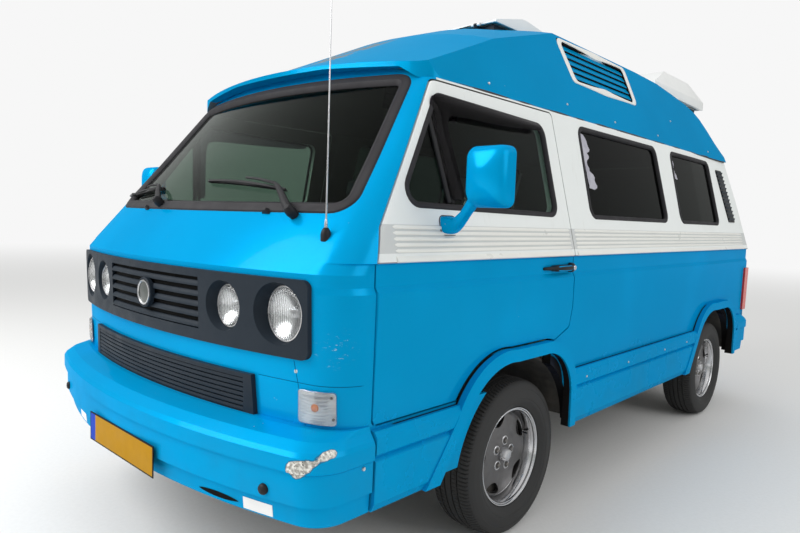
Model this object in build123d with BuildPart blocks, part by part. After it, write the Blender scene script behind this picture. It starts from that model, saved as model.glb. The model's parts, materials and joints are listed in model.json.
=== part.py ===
from build123d import *
import math
import os

# High-roof camper van: hollow panel body, hinged doors, steered and rolling wheels.
#
# Millimetres. Front is -Y, the left side is +X, up is +Z. The origin is on the
# ground, halfway between the tips of the two bumpers.

os.makedirs("parts", exist_ok=True)

# Overall places along the van
LENGTH = 4605.0
WHEELBASE = 2461.0
FRONT_OVERHANG = 1255.0
FRONT_AXLE_Y = FRONT_OVERHANG - LENGTH / 2
REAR_AXLE_Y = FRONT_AXLE_Y + WHEELBASE
BUMPER_FRONT_Y = -LENGTH / 2

# Wheels and tyres
TYRE_R = 325.0
TYRE_HALF = 102.5
RIM_LIP_R = 205.0
RIM_HALF = 80.0
FRONT_TRACK = 1585.0
REAR_TRACK = 1570.0
SPINDLE_R = 30.0
RUNNING_FIT = 0.05
KINGPIN_X = 715.0
ARCH_R = 420.0
FLARE_PROUD = 28.0
# Outlines round each wheel, along from its axle and up: the opening in the
# skirt, the outer edge of the flare, and the edge of the door above it.
# Columns: front foot, three places on the front arc, three on the rear arc,
# rear foot
ARCH_OPENING = (
    (-610.0, 330.0), (-424.0, 590.0), (-318.0, 702.0), (-100.0, 752.0),
    (110.0, 752.0), (270.0, 700.0), (343.0, 560.0), (346.0, 330.0),
)
ARCH_FLARE = (
    (-690.0, 330.0), (-480.0, 600.0), (-354.0, 746.0), (-110.0, 801.0),
    (122.0, 801.0), (309.0, 738.0), (393.0, 570.0), (396.0, 330.0),
)
ARCH_DOOR = (
    (-697.0, 330.0), (-487.0, 600.0), (-359.0, 752.0), (-111.0, 808.0),
    (124.0, 808.0), (314.0, 743.0), (400.0, 570.0), (403.0, 330.0),
)

# Body walls and gaps
WALL = 40.0
ROOF_WALL = 28.0
DOOR_GAP = 6.0
SEAT_CLEARANCE = 0.3
GLASS_RECESS = 12.0
GLASS_THICKNESS = 5.0

# Heights
SILL_Z = 400.0
SKIRT_TOP_Z = 645.0
BELT_Z = 1155.0
GUTTER_Z = 1800.0
HEADER_Z = 1870.0
ROOF_TOP_Z = 2237.0
FLOOR_Z = 470.0
FLOOR_THICKNESS = 50.0

# Plan of the body at each height: the half width at the middle and at the rear,
# where the front face stands at the centre line, the radius of its bow, the
# front corner, where the rear face stands, and the rear corner
#        z     half  rear   front_y  bow    corner rear_y  corner
BODY_PLAN = (
    (300.0, 900.0, 884.0, -2140.0, 3410.0, 140.0, 2195.0, 140.0),
    (640.0, 915.0, 900.0, -2164.0, 3410.0, 150.0, 2210.0, 150.0),
    (1062.0, 921.2, 904.4, -2178.1, 3410.0, 150.0, 2216.2, 150.0),
    (1082.0, 911.0, 894.0, -2178.7, 3410.0, 150.0, 2216.5, 150.0),
    (1120.0, 911.0, 894.0, -2180.0, 3410.0, 150.0, 2217.0, 150.0),
    (1150.0, 911.0, 894.0, -2156.9, 3316.0, 146.0, 2215.3, 150.0),
    (BELT_Z, 922.0, 905.0, -2153.0, 3300.0, 145.0, 2215.0, 150.0),
    (1500.0, 838.0, 820.0, -1881.0, 2600.0, 70.0, 2120.0, 130.0),
    (HEADER_Z, 748.0, 731.2, -1576.4, 2600.0, 40.0, 1953.5, 118.0),
)
TAPER_Y = 1150.0
REAR_BOW = 5200.0
THROUGH = 1300.0


def sagitta(radius, half):
    """How far a bow of this radius falls back at half its chord."""
    return radius - math.sqrt(radius * radius - half * half)


def plan_face(row, inset):
    """One plan section of the body, drawn inset from its outer skin."""
    z, half, rear_half, front_y, bow, front_corner, rear_y, rear_corner = row
    w = half - inset
    wr = rear_half - inset
    yf = front_y + inset
    yr = rear_y - inset
    ys = yf + sagitta(bow, w)
    yc = yr - sagitta(REAR_BOW, wr)
    with BuildSketch(Plane.XY.offset(z)) as section:
        with BuildLine():
            ThreePointArc((-w, ys), (0, yf), (w, ys))
            Line((w, ys), (w, TAPER_Y))
            Line((w, TAPER_Y), (wr, yc))
            ThreePointArc((wr, yc), (0, yr), (-wr, yc))
            Line((-wr, yc), (-w, TAPER_Y))
            Line((-w, TAPER_Y), (-w, ys))
        make_face()
        corners = section.vertices().group_by(Axis.Y)
        fillet(corners[0], max(front_corner - inset, 12.0))
        fillet(corners[-1], max(rear_corner - inset, 12.0))
    return section.sketch


def envelope(inset):
    """The closed form of the lower body, from the sills to the gutter."""
    with BuildPart() as form:
        loft([plan_face(row, inset) for row in BODY_PLAN], ruled=True)
    return form.part


def shell(outer, inner):
    """The wall between two insets of the body."""
    with BuildPart() as wall:
        add(envelope(outer))
        add(envelope(inner), mode=Mode.SUBTRACT)
    return wall.part


def side_prism(points, radius=0.0, x_from=-THROUGH, x_to=THROUGH):
    """A prism across the van from an outline in the side view (y, z)."""
    with BuildPart() as prism:
        with BuildSketch(Plane.YZ.offset(x_from)) as outline:
            with BuildLine():
                Polyline(*points, close=True)
            make_face()
            if radius:
                fillet(outline.vertices(), radius)
        extrude(amount=x_to - x_from)
    return prism.part


def front_prism(points, radius=0.0, y_from=-3000.0, y_to=0.0):
    """A prism along the van from an outline in the front view (x, z)."""
    with BuildPart() as prism:
        with BuildSketch(Plane.XZ.offset(-y_from)) as outline:
            with BuildLine():
                Polyline(*points, close=True)
            make_face()
            if radius:
                fillet(outline.vertices(), radius)
        extrude(amount=-(y_to - y_from))
    return prism.part


def drum(radius, x_from, x_to, y, z):
    """A cylinder lying across the van."""
    with BuildPart() as body:
        with BuildSketch(Plane.YZ.offset(x_from)):
            with Locations((y, z)):
                Circle(radius)
        extrude(amount=x_to - x_from)
    return body.part


def arch_prism(rows, axle_y, x_from=-THROUGH, x_to=THROUGH):
    """A prism across the van from one of the outlines round a wheel."""
    points = [(axle_y + along, up) for along, up in rows]
    with BuildPart() as prism:
        with BuildSketch(Plane.YZ.offset(x_from)):
            with BuildLine():
                Line(points[0], points[1])
                ThreePointArc(*points[1:4])
                Line(points[3], points[4])
                ThreePointArc(*points[4:7])
                Line(points[6], points[7])
                Line(points[7], points[0])
            make_face()
        extrude(amount=x_to - x_from)
    return prism.part


def block(x0, x1, y0, y1, z0, z1):
    """A plain box between two corners."""
    with BuildPart() as body:
        with BuildSketch(Plane.XY.offset(z0)):
            with Locations(((x0 + x1) / 2, (y0 + y1) / 2)):
                Rectangle(x1 - x0, y1 - y0)
        extrude(amount=z1 - z0)
    return body.part


def half_space(sign):
    """Everything on one side of the middle plane."""
    x0, x1 = sorted((0.0, sign * THROUGH))
    return block(x0, x1, -2600.0, 2600.0, 200.0, 1900.0)


def save(builder, name):
    builder.part.label = name
    export_step(builder.part, f"parts/{name}.step")


# The body ends at the gutter, but its header rises under the brow of the roof
HEADER_OUTLINE = (
    (-712.0, 1700.0), (-712.0, 1801.0), (-645.0, 1842.0), (-300.0, 1863.0),
    (300.0, 1863.0), (645.0, 1842.0), (712.0, 1801.0), (712.0, 1700.0),
)
HEADER_REAR_Y = -1440.0
header_prism = front_prism(HEADER_OUTLINE, 0.0, -2300.0, HEADER_REAR_Y)
with BuildPart() as above_gutter:
    add(block(-THROUGH, THROUGH, -2600.0, 2600.0, GUTTER_Z, 2000.0))
    add(header_prism, mode=Mode.SUBTRACT)

# Walls that several panels are cut from
with BuildPart() as body_shell:
    add(shell(0.0, WALL))
    add(above_gutter.part, mode=Mode.SUBTRACT)
body_wall = body_shell.part
glass_wall = shell(GLASS_RECESS, GLASS_RECESS + GLASS_THICKNESS)

# Front door outline in the side view: it stands on the skirt, rises over the
# front flare and leans back with the windscreen pillar
DOOR_FRONT_Y = -1916.0
DOOR_REAR_Y = -679.0
DOOR_BOTTOM_Z = 658.0
DOOR_TOP_Z = 1786.0
AXLE_Z = TYRE_R
PILLAR_FOOT = (DOOR_FRONT_Y + 36.0, 1262.0)
PILLAR_HEAD = (-1520.0, DOOR_TOP_Z)
DOOR_HEEL = (-850.0, 786.0)
DOOR_KNEE = (-700.0, 842.0)
door_outline = (
    (DOOR_FRONT_Y, DOOR_BOTTOM_Z),
    (DOOR_HEEL[0], DOOR_BOTTOM_Z),
    DOOR_HEEL,
    DOOR_KNEE,
    (DOOR_REAR_Y, 930.0),
    (DOOR_REAR_Y - 12.0, DOOR_TOP_Z),
    PILLAR_HEAD,
    PILLAR_FOOT,
    (DOOR_FRONT_Y, BELT_Z),
)
# The same outline opened by the gap all round
doorway_outline = (
    (DOOR_FRONT_Y - DOOR_GAP, DOOR_BOTTOM_Z - DOOR_GAP),
    (DOOR_HEEL[0] + DOOR_GAP, DOOR_BOTTOM_Z - DOOR_GAP),
    (DOOR_HEEL[0] + DOOR_GAP, DOOR_HEEL[1] - DOOR_GAP / 2),
    (DOOR_KNEE[0] + DOOR_GAP / 2, DOOR_KNEE[1] - DOOR_GAP),
    (DOOR_REAR_Y + DOOR_GAP, 930.0 - DOOR_GAP / 2),
    (DOOR_REAR_Y - 12.0 + DOOR_GAP, DOOR_TOP_Z + DOOR_GAP),
    (PILLAR_HEAD[0] - DOOR_GAP / 2, DOOR_TOP_Z + DOOR_GAP),
    (PILLAR_FOOT[0] - DOOR_GAP, PILLAR_FOOT[1] + DOOR_GAP / 4),
    (DOOR_FRONT_Y - DOOR_GAP, BELT_Z + DOOR_GAP / 4),
)
door_window = ((-1775.0, 1345.0), (-790.0, 1335.0), (-793.0, 1712.0), (-1512.0, 1730.0))

# Windows of the living space: front edge, rear edge, foot and head
SIDE_WINDOWS = (
    (-454.0, 507.0, 1336.0, 1752.0),
    (740.0, 1489.0, 1336.0, 1752.0),
)

# Sliding door in the right side
SLIDER_FRONT_Y = -640.0
SLIDER_REAR_Y = 618.0
SLIDER_BOTTOM_Z = 660.0
SLIDER_TOP_Z = 1782.0

# Pivot pins of the front doors
HINGE_X = 908.0
HINGE_Y = DOOR_FRONT_Y + 14.0
HINGE_PIN_R = 6.0
HINGE_PIN_LENGTH = 34.0

# Split between the nose, the sides and the rear
NOSE_EDGE_Y = DOOR_FRONT_Y - DOOR_GAP
REAR_SPLIT_X = 712.0
# The nose runs on behind the edge of the doorway, which trims it
NOSE_LAP = 30.0
nose_region = side_prism((
    (-2600.0, 200.0),
    (NOSE_EDGE_Y, 200.0),
    (NOSE_EDGE_Y, DOOR_BOTTOM_Z - 58.0),
    (NOSE_EDGE_Y + NOSE_LAP, DOOR_BOTTOM_Z - 58.0),
    (NOSE_EDGE_Y + NOSE_LAP, BELT_Z),
    (PILLAR_FOOT[0] + NOSE_LAP - DOOR_GAP, PILLAR_FOOT[1]),
    (PILLAR_HEAD[0] + NOSE_LAP - DOOR_GAP, DOOR_TOP_Z + DOOR_GAP),
    (PILLAR_HEAD[0] + NOSE_LAP - DOOR_GAP, 1900.0),
    (-2600.0, 1900.0),
))
door_prism = side_prism(door_outline, 22.0)
doorway_prism = side_prism(doorway_outline, 24.0)
window_prism = side_prism(door_window, 45.0)
front_arches = drum(ARCH_R, -THROUGH, THROUGH, FRONT_AXLE_Y, AXLE_Z)
rear_arches = drum(ARCH_R, -THROUGH, THROUGH, REAR_AXLE_Y, AXLE_Z)
door_arch = arch_prism(ARCH_DOOR, FRONT_AXLE_Y)
below_sill = block(-THROUGH, THROUGH, -2500.0, 2500.0, 200.0, SILL_Z)
rear_region = block(-REAR_SPLIT_X, REAR_SPLIT_X, 1500.0, 2400.0, 200.0, 1900.0)


def side_window_prism(row):
    y0, y1, z0, z1 = row
    return side_prism(((y0, z0), (y1, z0), (y1 - 8.0, z1), (y0 + 14.0, z1)), 42.0)


# Windscreen opening, drawn on a plane that leans with the glass
SCREEN_FOOT = (-2033.0, 1314.0)
SCREEN_HEAD = (-1634.0, 1798.0)
SCREEN_LEAN = math.atan2(SCREEN_HEAD[0] - SCREEN_FOOT[0], SCREEN_HEAD[1] - SCREEN_FOOT[1])
screen_plane = Plane(
    origin=(0, (SCREEN_FOOT[0] + SCREEN_HEAD[0]) / 2, (SCREEN_FOOT[1] + SCREEN_HEAD[1]) / 2),
    x_dir=(1, 0, 0),
    z_dir=(0, -math.cos(SCREEN_LEAN), math.sin(SCREEN_LEAN)),
)
SCREEN_FOOT_HALF = 775.0
SCREEN_HEAD_HALF = 668.0
SCREEN_FOOT_S = -300.0
SCREEN_HEAD_S = 322.0
SCREEN_FOOT_RISE = 70.0
SCREEN_HEAD_RISE = 40.0
foot_s = SCREEN_FOOT_S + SCREEN_FOOT_RISE
head_s = SCREEN_HEAD_S + SCREEN_HEAD_RISE
with BuildPart() as screen_prism:
    with BuildSketch(screen_plane.offset(-260.0)) as outline:
        with BuildLine():
            ThreePointArc((-SCREEN_FOOT_HALF, foot_s), (0, SCREEN_FOOT_S), (SCREEN_FOOT_HALF, foot_s))
            Line((SCREEN_FOOT_HALF, foot_s), (SCREEN_HEAD_HALF, head_s))
            ThreePointArc((SCREEN_HEAD_HALF, head_s), (0, SCREEN_HEAD_S), (-SCREEN_HEAD_HALF, head_s))
            Line((-SCREEN_HEAD_HALF, head_s), (-SCREEN_FOOT_HALF, foot_s))
        make_face()
        fillet(outline.vertices(), 45.0)
    extrude(amount=420.0)

# Headlamps: place across the van, radius of the glass, radius of the bezel's rim
LAMP_Z = 992.0
LAMPS = ((703.0, 84.0, 97.0), (463.0, 68.0, 84.0))
LAMP_SET = 24.0
LAMP_DEPTH = 62.0
BEZEL_WALL = 2.4
BEZEL_GAP = 0.5
NOSE_Y = -2180.0
NOSE_BOW = 3410.0


def nose_skin_y(x):
    """Where the upright part of the nose stands at this half width."""
    return NOSE_Y + sagitta(NOSE_BOW, x)


def rod_y(radius, x, z, y0, y1):
    """A cylinder lying along the van."""
    with BuildPart() as body:
        with BuildSketch(Plane.XZ.offset(-y0)):
            with Locations((x, z)):
                Circle(radius)
        extrude(amount=-(y1 - y0))
    return body.part


def cone_y(r0, r1, x, z, y0, y1):
    """A cone lying along the van, its radius given at both ends."""
    with BuildPart() as body:
        with BuildSketch(Plane.XZ.offset(-y0)):
            with Locations((x, z)):
                Circle(r0)
        with BuildSketch(Plane.XZ.offset(-y1)):
            with Locations((x, z)):
                Circle(r1)
        loft()
    return body.part


def bezel_room(x, rim, gap):
    """The room behind the skin that one lamp and its bezel take up."""
    skin_y = nose_skin_y(abs(x))
    return rod_y(rim + BEZEL_WALL + gap, x, LAMP_Z, skin_y - 100.0, skin_y + LAMP_DEPTH + gap)


# Nose: front face, corners and windscreen pillars
with BuildPart() as nose_panel:
    add(body_wall)
    add(nose_region, mode=Mode.INTERSECT)
    add(screen_prism.part, mode=Mode.SUBTRACT)
    add(below_sill, mode=Mode.SUBTRACT)
    add(doorway_prism, mode=Mode.SUBTRACT)
    # Pivot pins that the front doors turn on
    with BuildSketch(Plane.XY.offset(DOOR_BOTTOM_Z - DOOR_GAP - 8.0)):
        with Locations((HINGE_X, HINGE_Y), (-HINGE_X, HINGE_Y)):
            Circle(HINGE_PIN_R)
    extrude(amount=HINGE_PIN_LENGTH + 8.0)
    for x, _, rim in LAMPS:
        for sign in (-1, 1):
            add(bezel_room(sign * x, rim, BEZEL_GAP), mode=Mode.SUBTRACT)
save(nose_panel, "nose_panel")


def side_panel(sign, with_slider):
    """The body side between the nose and the rear, one wall with its openings."""
    far_side = half_space(-sign)
    with BuildPart() as panel:
        add(body_wall)
        add(far_side, mode=Mode.SUBTRACT)
        add(nose_region, mode=Mode.SUBTRACT)
        add(rear_region, mode=Mode.SUBTRACT)
        add(below_sill, mode=Mode.SUBTRACT)
        add(doorway_prism, mode=Mode.SUBTRACT)
        add(front_arches, mode=Mode.SUBTRACT)
        add(rear_arches, mode=Mode.SUBTRACT)
        for row in SIDE_WINDOWS[1:] if with_slider else SIDE_WINDOWS:
            add(side_window_prism(row), mode=Mode.SUBTRACT)
        if with_slider:
            add(slider_opening, mode=Mode.SUBTRACT)
    return panel


slider_outline = (
    (SLIDER_FRONT_Y, SLIDER_BOTTOM_Z),
    (SLIDER_REAR_Y, SLIDER_BOTTOM_Z),
    (SLIDER_REAR_Y - 10.0, SLIDER_TOP_Z),
    (SLIDER_FRONT_Y + 10.0, SLIDER_TOP_Z),
)
slider_prism = side_prism(slider_outline, 55.0)
slider_opening = side_prism((
    (SLIDER_FRONT_Y - SEAT_CLEARANCE, SLIDER_BOTTOM_Z - SEAT_CLEARANCE),
    (SLIDER_REAR_Y + SEAT_CLEARANCE, SLIDER_BOTTOM_Z - SEAT_CLEARANCE),
    (SLIDER_REAR_Y - 10.0 + SEAT_CLEARANCE, SLIDER_TOP_Z + SEAT_CLEARANCE),
    (SLIDER_FRONT_Y + 10.0 - SEAT_CLEARANCE, SLIDER_TOP_Z + SEAT_CLEARANCE),
), 55.0)

# Body sides
side_left = side_panel(1, False)
save(side_left, "side_left")
side_right = side_panel(-1, True)
save(side_right, "side_right")

# Sliding door, shut in the right side
with BuildPart() as sliding_door:
    add(body_wall)
    add(block(0, THROUGH, -2600, 2600, 200, 1900), mode=Mode.SUBTRACT)
    add(slider_prism, mode=Mode.INTERSECT)
    add(side_window_prism(SIDE_WINDOWS[0]), mode=Mode.SUBTRACT)
save(sliding_door, "sliding_door")


# Mirror on the front door. Arm sections: place across, along and above, width
# and height
MIRROR_ARM = (
    (885.0, -1552.0, 1275.0, 92.0, 60.0),
    (935.0, -1566.0, 1276.0, 52.0, 46.0),
    (985.0, -1590.0, 1306.0, 38.0, 44.0),
    (1060.0, -1630.0, 1366.0, 36.0, 48.0),
)
MIRROR_X = (1034.0, 1182.0)
MIRROR_Z = (1336.0, 1526.0)
# Head sections from the glass forward: along, inset at the sides and top, inset below, corner
MIRROR_HEAD = (
    (-1598.0, 0.0, 0.0, 26.0),
    (-1622.0, 0.0, 0.0, 26.0),
    (-1664.0, 16.0, 38.0, 22.0),
)


def mirror_head(sign):
    """The mirror's shell, tapering forward from its glass."""
    x0, x1 = MIRROR_X
    z0, z1 = MIRROR_Z
    with BuildPart() as head:
        for y, inset, below, corner in MIRROR_HEAD:
            with BuildSketch(Plane.XZ.offset(-y)):
                with Locations((sign * (x0 + x1) / 2, (z0 + below + z1 - inset) / 2)):
                    RectangleRounded(x1 - x0 - 2 * inset, z1 - z0 - inset - below, corner)
        loft(ruled=True)
    return head.part


def mirror_arm(sign):
    """The arm from the foot below the window up into the head."""
    with BuildPart() as arm:
        for x, y, z, width, height in MIRROR_ARM:
            with BuildSketch(Plane.YZ.offset(sign * x)):
                with Locations((y, z)):
                    RectangleRounded(width, height, 14.0)
        loft(ruled=True)
    return arm.part


def front_door(sign):
    """A front door with its frame, mirror and handle."""
    far_side = half_space(-sign)
    with BuildPart() as door:
        add(body_wall)
        add(far_side, mode=Mode.SUBTRACT)
        add(door_prism, mode=Mode.INTERSECT)
        add(door_arch, mode=Mode.SUBTRACT)
        add(window_prism, mode=Mode.SUBTRACT)
        # Front edge rounded about the hinge, so that it turns inside the nose
        with BuildSketch(Plane.XY.offset(600.0)):
            with Locations((sign * (HINGE_X + 20.0), HINGE_Y - 10.0)):
                Rectangle(40.0, 20.0)
            with Locations((sign * HINGE_X, HINGE_Y)):
                Circle(14.0, mode=Mode.SUBTRACT)
        extrude(amount=PILLAR_FOOT[1] - 600.0, mode=Mode.SUBTRACT)
        # Bore for the pivot pin
        with BuildSketch(Plane.XY.offset(DOOR_BOTTOM_Z - 10.0)):
            with Locations((sign * HINGE_X, HINGE_Y)):
                Circle(HINGE_PIN_R + RUNNING_FIT)
        extrude(amount=HINGE_PIN_LENGTH + 10.0, mode=Mode.SUBTRACT)
        add(mirror_arm(sign))
        add(mirror_head(sign))
        # Pull handle near the rear edge
        with BuildSketch(Plane.YZ.offset(sign * 905.0)):
            with Locations((-800.0, 1105.0)):
                RectangleRounded(120.0, 22.0, 10.0)
        extrude(amount=sign * 38.0)
    return door


for side_name, sign in (("left", 1), ("right", -1)):
    door = front_door(sign)
    save(door, f"door_{side_name}")
    half = half_space(sign)
    with BuildPart() as door_glass:
        add(glass_wall)
        add(window_prism, mode=Mode.INTERSECT)
        add(half, mode=Mode.INTERSECT)
    save(door_glass, f"door_glass_{side_name}")

# Rear panel with the tailgate opening
TAIL_BOTTOM_Z = 850.0
TAIL_TOP_Z = 1778.0
TAIL_HALF_LOW = 690.0
TAIL_HALF_HIGH = 600.0
TAIL_GAP = 6.0
tail_outline = (
    (-TAIL_HALF_LOW, TAIL_BOTTOM_Z),
    (TAIL_HALF_LOW, TAIL_BOTTOM_Z),
    (TAIL_HALF_LOW, BELT_Z + 60.0),
    (TAIL_HALF_HIGH, TAIL_TOP_Z),
    (-TAIL_HALF_HIGH, TAIL_TOP_Z),
    (-TAIL_HALF_LOW, BELT_Z + 60.0),
)
tail_opening_outline = (
    (-TAIL_HALF_LOW - TAIL_GAP, TAIL_BOTTOM_Z - TAIL_GAP),
    (TAIL_HALF_LOW + TAIL_GAP, TAIL_BOTTOM_Z - TAIL_GAP),
    (TAIL_HALF_LOW + TAIL_GAP, BELT_Z + 60.0 + TAIL_GAP / 2),
    (TAIL_HALF_HIGH + TAIL_GAP, TAIL_TOP_Z + TAIL_GAP),
    (-TAIL_HALF_HIGH - TAIL_GAP, TAIL_TOP_Z + TAIL_GAP),
    (-TAIL_HALF_LOW - TAIL_GAP, BELT_Z + 60.0 + TAIL_GAP / 2),
)
tail_prism = front_prism(tail_outline, 40.0, 1500.0, 2400.0)
tail_opening = front_prism(tail_opening_outline, 44.0, 1500.0, 2400.0)
tail_window = front_prism((
    (-620.0, 1300.0), (620.0, 1300.0), (560.0, 1705.0), (-560.0, 1705.0)
), 60.0, 1500.0, 2400.0)
TAIL_AXIS = (1998.0, 1789.0)
TAIL_HINGE_X = 400.0
TAIL_BARREL_R = 9.0
TAIL_PIN_R = 4.0
LEAF = 24.0
LEAF_Y = 1980.0

with BuildPart() as rear_frame:
    add(body_wall)
    add(rear_region, mode=Mode.INTERSECT)
    add(below_sill, mode=Mode.SUBTRACT)
    add(tail_opening, mode=Mode.SUBTRACT)
    for x in (-TAIL_HINGE_X, TAIL_HINGE_X):
        add(drum(TAIL_BARREL_R, x - LEAF / 2, x + LEAF / 2, *TAIL_AXIS))
        add(block(x - LEAF / 2, x + LEAF / 2, 1955, TAIL_AXIS[0], TAIL_TOP_Z + 9.0, TAIL_TOP_Z + 20.0))
        add(drum(TAIL_PIN_R, x - LEAF * 1.5, x + LEAF * 1.5, *TAIL_AXIS))
save(rear_frame, "rear_frame")

with BuildPart() as tailgate:
    add(body_wall)
    add(tail_prism, mode=Mode.INTERSECT)
    add(tail_window, mode=Mode.SUBTRACT)
    for x in (-TAIL_HINGE_X, TAIL_HINGE_X):
        for side in (-1, 1):
            inner = x + side * (LEAF / 2 + 0.5)
            outer = x + side * LEAF * 1.5
            x0, x1 = min(inner, outer), max(inner, outer)
            add(drum(TAIL_BARREL_R, x0, x1, *TAIL_AXIS))
            add(block(x0, x1, LEAF_Y, TAIL_AXIS[0], TAIL_TOP_Z - 26.0, TAIL_AXIS[1]))
            add(drum(TAIL_PIN_R + RUNNING_FIT, x0 - 1.0, x1 + 1.0, *TAIL_AXIS), mode=Mode.SUBTRACT)
save(tailgate, "tailgate")

with BuildPart() as tailgate_glass:
    add(glass_wall)
    add(tail_window, mode=Mode.INTERSECT)
save(tailgate_glass, "tailgate_glass")


def pane(cutter):
    """Glass of one opening, or of a like pair of openings."""
    with BuildPart() as glass:
        add(glass_wall)
        add(cutter, mode=Mode.INTERSECT)
    return glass.part


# Windscreen and the fixed panes of the sides
screen_glass = pane(screen_prism.part)
side_panes = [pane(side_window_prism(row)) for row in SIDE_WINDOWS]
with BuildPart() as fixed_glass:
    add(screen_glass)
    for part in side_panes:
        add(part)
save(fixed_glass, "fixed_glass")

# Floor: slab, engine deck, wheel housings and two chassis rails
HOUSING_WALL = 12.0
FRONT_HOUSING_X = 483.0
REAR_HOUSING_X = 640.0
DECK_Y = 1000.0
DECK_Z = 800.0
RAIL_X = (350.0, 420.0)
RAIL_Z = (340.0, 420.0)
SEAT_X = 400.0
SEAT_HALF = 240.0
SEAT_BOX_Z = 861.7
JACK_Y = (-500.0, 900.0)
JACK_PAD = 90.0
JACK_Z = 330.0
TOW_EYE = (-1925.0, 372.0)
TOW_EYE_R = 14.0
cabin_form = envelope(WALL + SEAT_CLEARANCE)
housings = (
    (FRONT_AXLE_Y, FRONT_HOUSING_X),
    (REAR_AXLE_Y, REAR_HOUSING_X),
)
with BuildPart() as floor_pan:
    add(block(-THROUGH, THROUGH, -2300.0, DECK_Y, FLOOR_Z - FLOOR_THICKNESS, FLOOR_Z))
    add(block(-THROUGH, THROUGH, DECK_Y - 30.0, DECK_Y, FLOOR_Z - FLOOR_THICKNESS, DECK_Z))
    add(block(-THROUGH, THROUGH, DECK_Y - 30.0, 2400.0, DECK_Z - 30.0, DECK_Z))
    # Boxes that carry the front seats, beside and over the wheel housings
    for sign in (-1, 1):
        x0, x1 = sorted((sign * (SEAT_X - SEAT_HALF), sign * (SEAT_X + SEAT_HALF)))
        add(block(x0, x1, -1330.0, -805.0, FLOOR_Z, SEAT_BOX_Z))
    for axle_y, inner_x in housings:
        for sign in (-1, 1):
            x0, x1 = sorted((sign * inner_x, sign * THROUGH))
            add(drum(ARCH_R + HOUSING_WALL, x0, x1, axle_y, AXLE_Z))
            x0, x1 = sorted((sign * (inner_x + HOUSING_WALL), sign * THROUGH))
            add(drum(ARCH_R, x0, x1, axle_y, AXLE_Z), mode=Mode.SUBTRACT)
    add(block(-THROUGH, THROUGH, -2500.0, 2500.0, -200.0, FLOOR_Z - FLOOR_THICKNESS), mode=Mode.SUBTRACT)
    add(cabin_form, mode=Mode.INTERSECT)
    for sign in (-1, 1):
        x0, x1 = sorted((sign * RAIL_X[0], sign * RAIL_X[1]))
        add(block(x0, x1, -1950.0, 2140.0, RAIL_Z[0], RAIL_Z[1]))
        # Pads that a jack lifts on
        for y in JACK_Y:
            add(block(x0, x1, y - JACK_PAD / 2, y + JACK_PAD / 2, JACK_Z, RAIL_Z[0]))
    add(drum(TOW_EYE_R, -THROUGH, THROUGH, TOW_EYE[0], TOW_EYE[1]), mode=Mode.SUBTRACT)
save(floor_pan, "floor_pan")

# High roof: sections across the van from the brow over the windscreen to the
# tail. Columns: place along the van, half width and height of the top edge,
# height of the crown
ROOF_STATIONS = (
    (-1700.0, 757.0, 1806.0, 1866.0),
    (-1542.0, 746.0, 1850.0, 1915.0),
    (-1163.0, 685.0, 2000.0, 2088.0),
    (-1002.0, 659.0, 2065.0, 2162.0),
    (-710.0, 624.0, 2150.0, 2262.0),
    (-410.0, 590.0, ROOF_TOP_Z, 2318.0),
    (600.0, 590.0, ROOF_TOP_Z, 2290.0),
    (927.0, 594.0, 2227.0, 2264.0),
    (1160.0, 606.0, 2198.0, 2234.0),
    (1392.0, 619.0, 2164.0, 2200.0),
    (1543.0, 635.0, 2125.0, 2168.0),
    (1625.0, 651.0, 2086.0, 2138.0),
    (1707.0, 677.0, 2021.0, 2095.0),
    (1800.0, 713.0, 1930.0, 2015.0),
    (1900.0, 738.0, 1862.0, 1920.0),
    (1985.0, 758.0, 1812.0, 1840.0),
)
GUTTER_HALF = 765.0


def roof_section(row, inset):
    """One upright section of the roof, drawn inset from its outer skin."""
    y, half_top, z_top, z_crown = row
    foot = GUTTER_HALF - inset
    shoulder = half_top - inset * 0.9
    z_shoulder = max(z_top - inset, GUTTER_Z + 4.0)
    z_middle = max(z_crown - inset, GUTTER_Z + 8.0)
    with BuildSketch(Plane.XZ.offset(-y)) as outline:
        with BuildLine():
            Line((-foot, GUTTER_Z), (foot, GUTTER_Z))
            Line((foot, GUTTER_Z), (shoulder, z_shoulder))
            ThreePointArc((shoulder, z_shoulder), (0, z_middle), (-shoulder, z_shoulder))
            Line((-shoulder, z_shoulder), (-foot, GUTTER_Z))
        make_face()
    return outline.sketch


ROOF_FRONT_Y = -1650.0
ROOF_REAR_Y = 1985.0
ROOF_FRONT_BOW = 122.0
ROOF_CORNER = 110.0
# The brow is solid ahead of this place
BROW_REAR_Y = -1500.0
ROOF_REAR_BOW = 55.0


def roof_form(inset):
    """The closed form of the high roof, drawn inset from its outer skin."""
    half = GUTTER_HALF - inset
    front_y = ROOF_FRONT_Y + inset
    rear_y = ROOF_REAR_Y - inset
    sections = [roof_section(row, inset) for row in ROOF_STATIONS]
    with BuildPart() as form:
        loft(sections, ruled=True)
        with BuildSketch(Plane.XY.offset(GUTTER_Z)) as plan:
            with BuildLine():
                front_end = front_y + ROOF_FRONT_BOW
                rear_end = rear_y - ROOF_REAR_BOW
                ThreePointArc((-half, front_end), (0, front_y), (half, front_end))
                Line((half, front_end), (half, rear_end))
                ThreePointArc((half, rear_end), (0, rear_y), (-half, rear_end))
                Line((-half, rear_y - ROOF_REAR_BOW), (-half, front_y + ROOF_FRONT_BOW))
            make_face()
            corners = plan.vertices().group_by(Axis.Y)
            fillet(corners[0], max(ROOF_CORNER - inset, 10.0))
            fillet(corners[-1], max(130.0 - inset, 10.0))
        extrude(amount=700.0, mode=Mode.INTERSECT)
    return form.part


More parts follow.
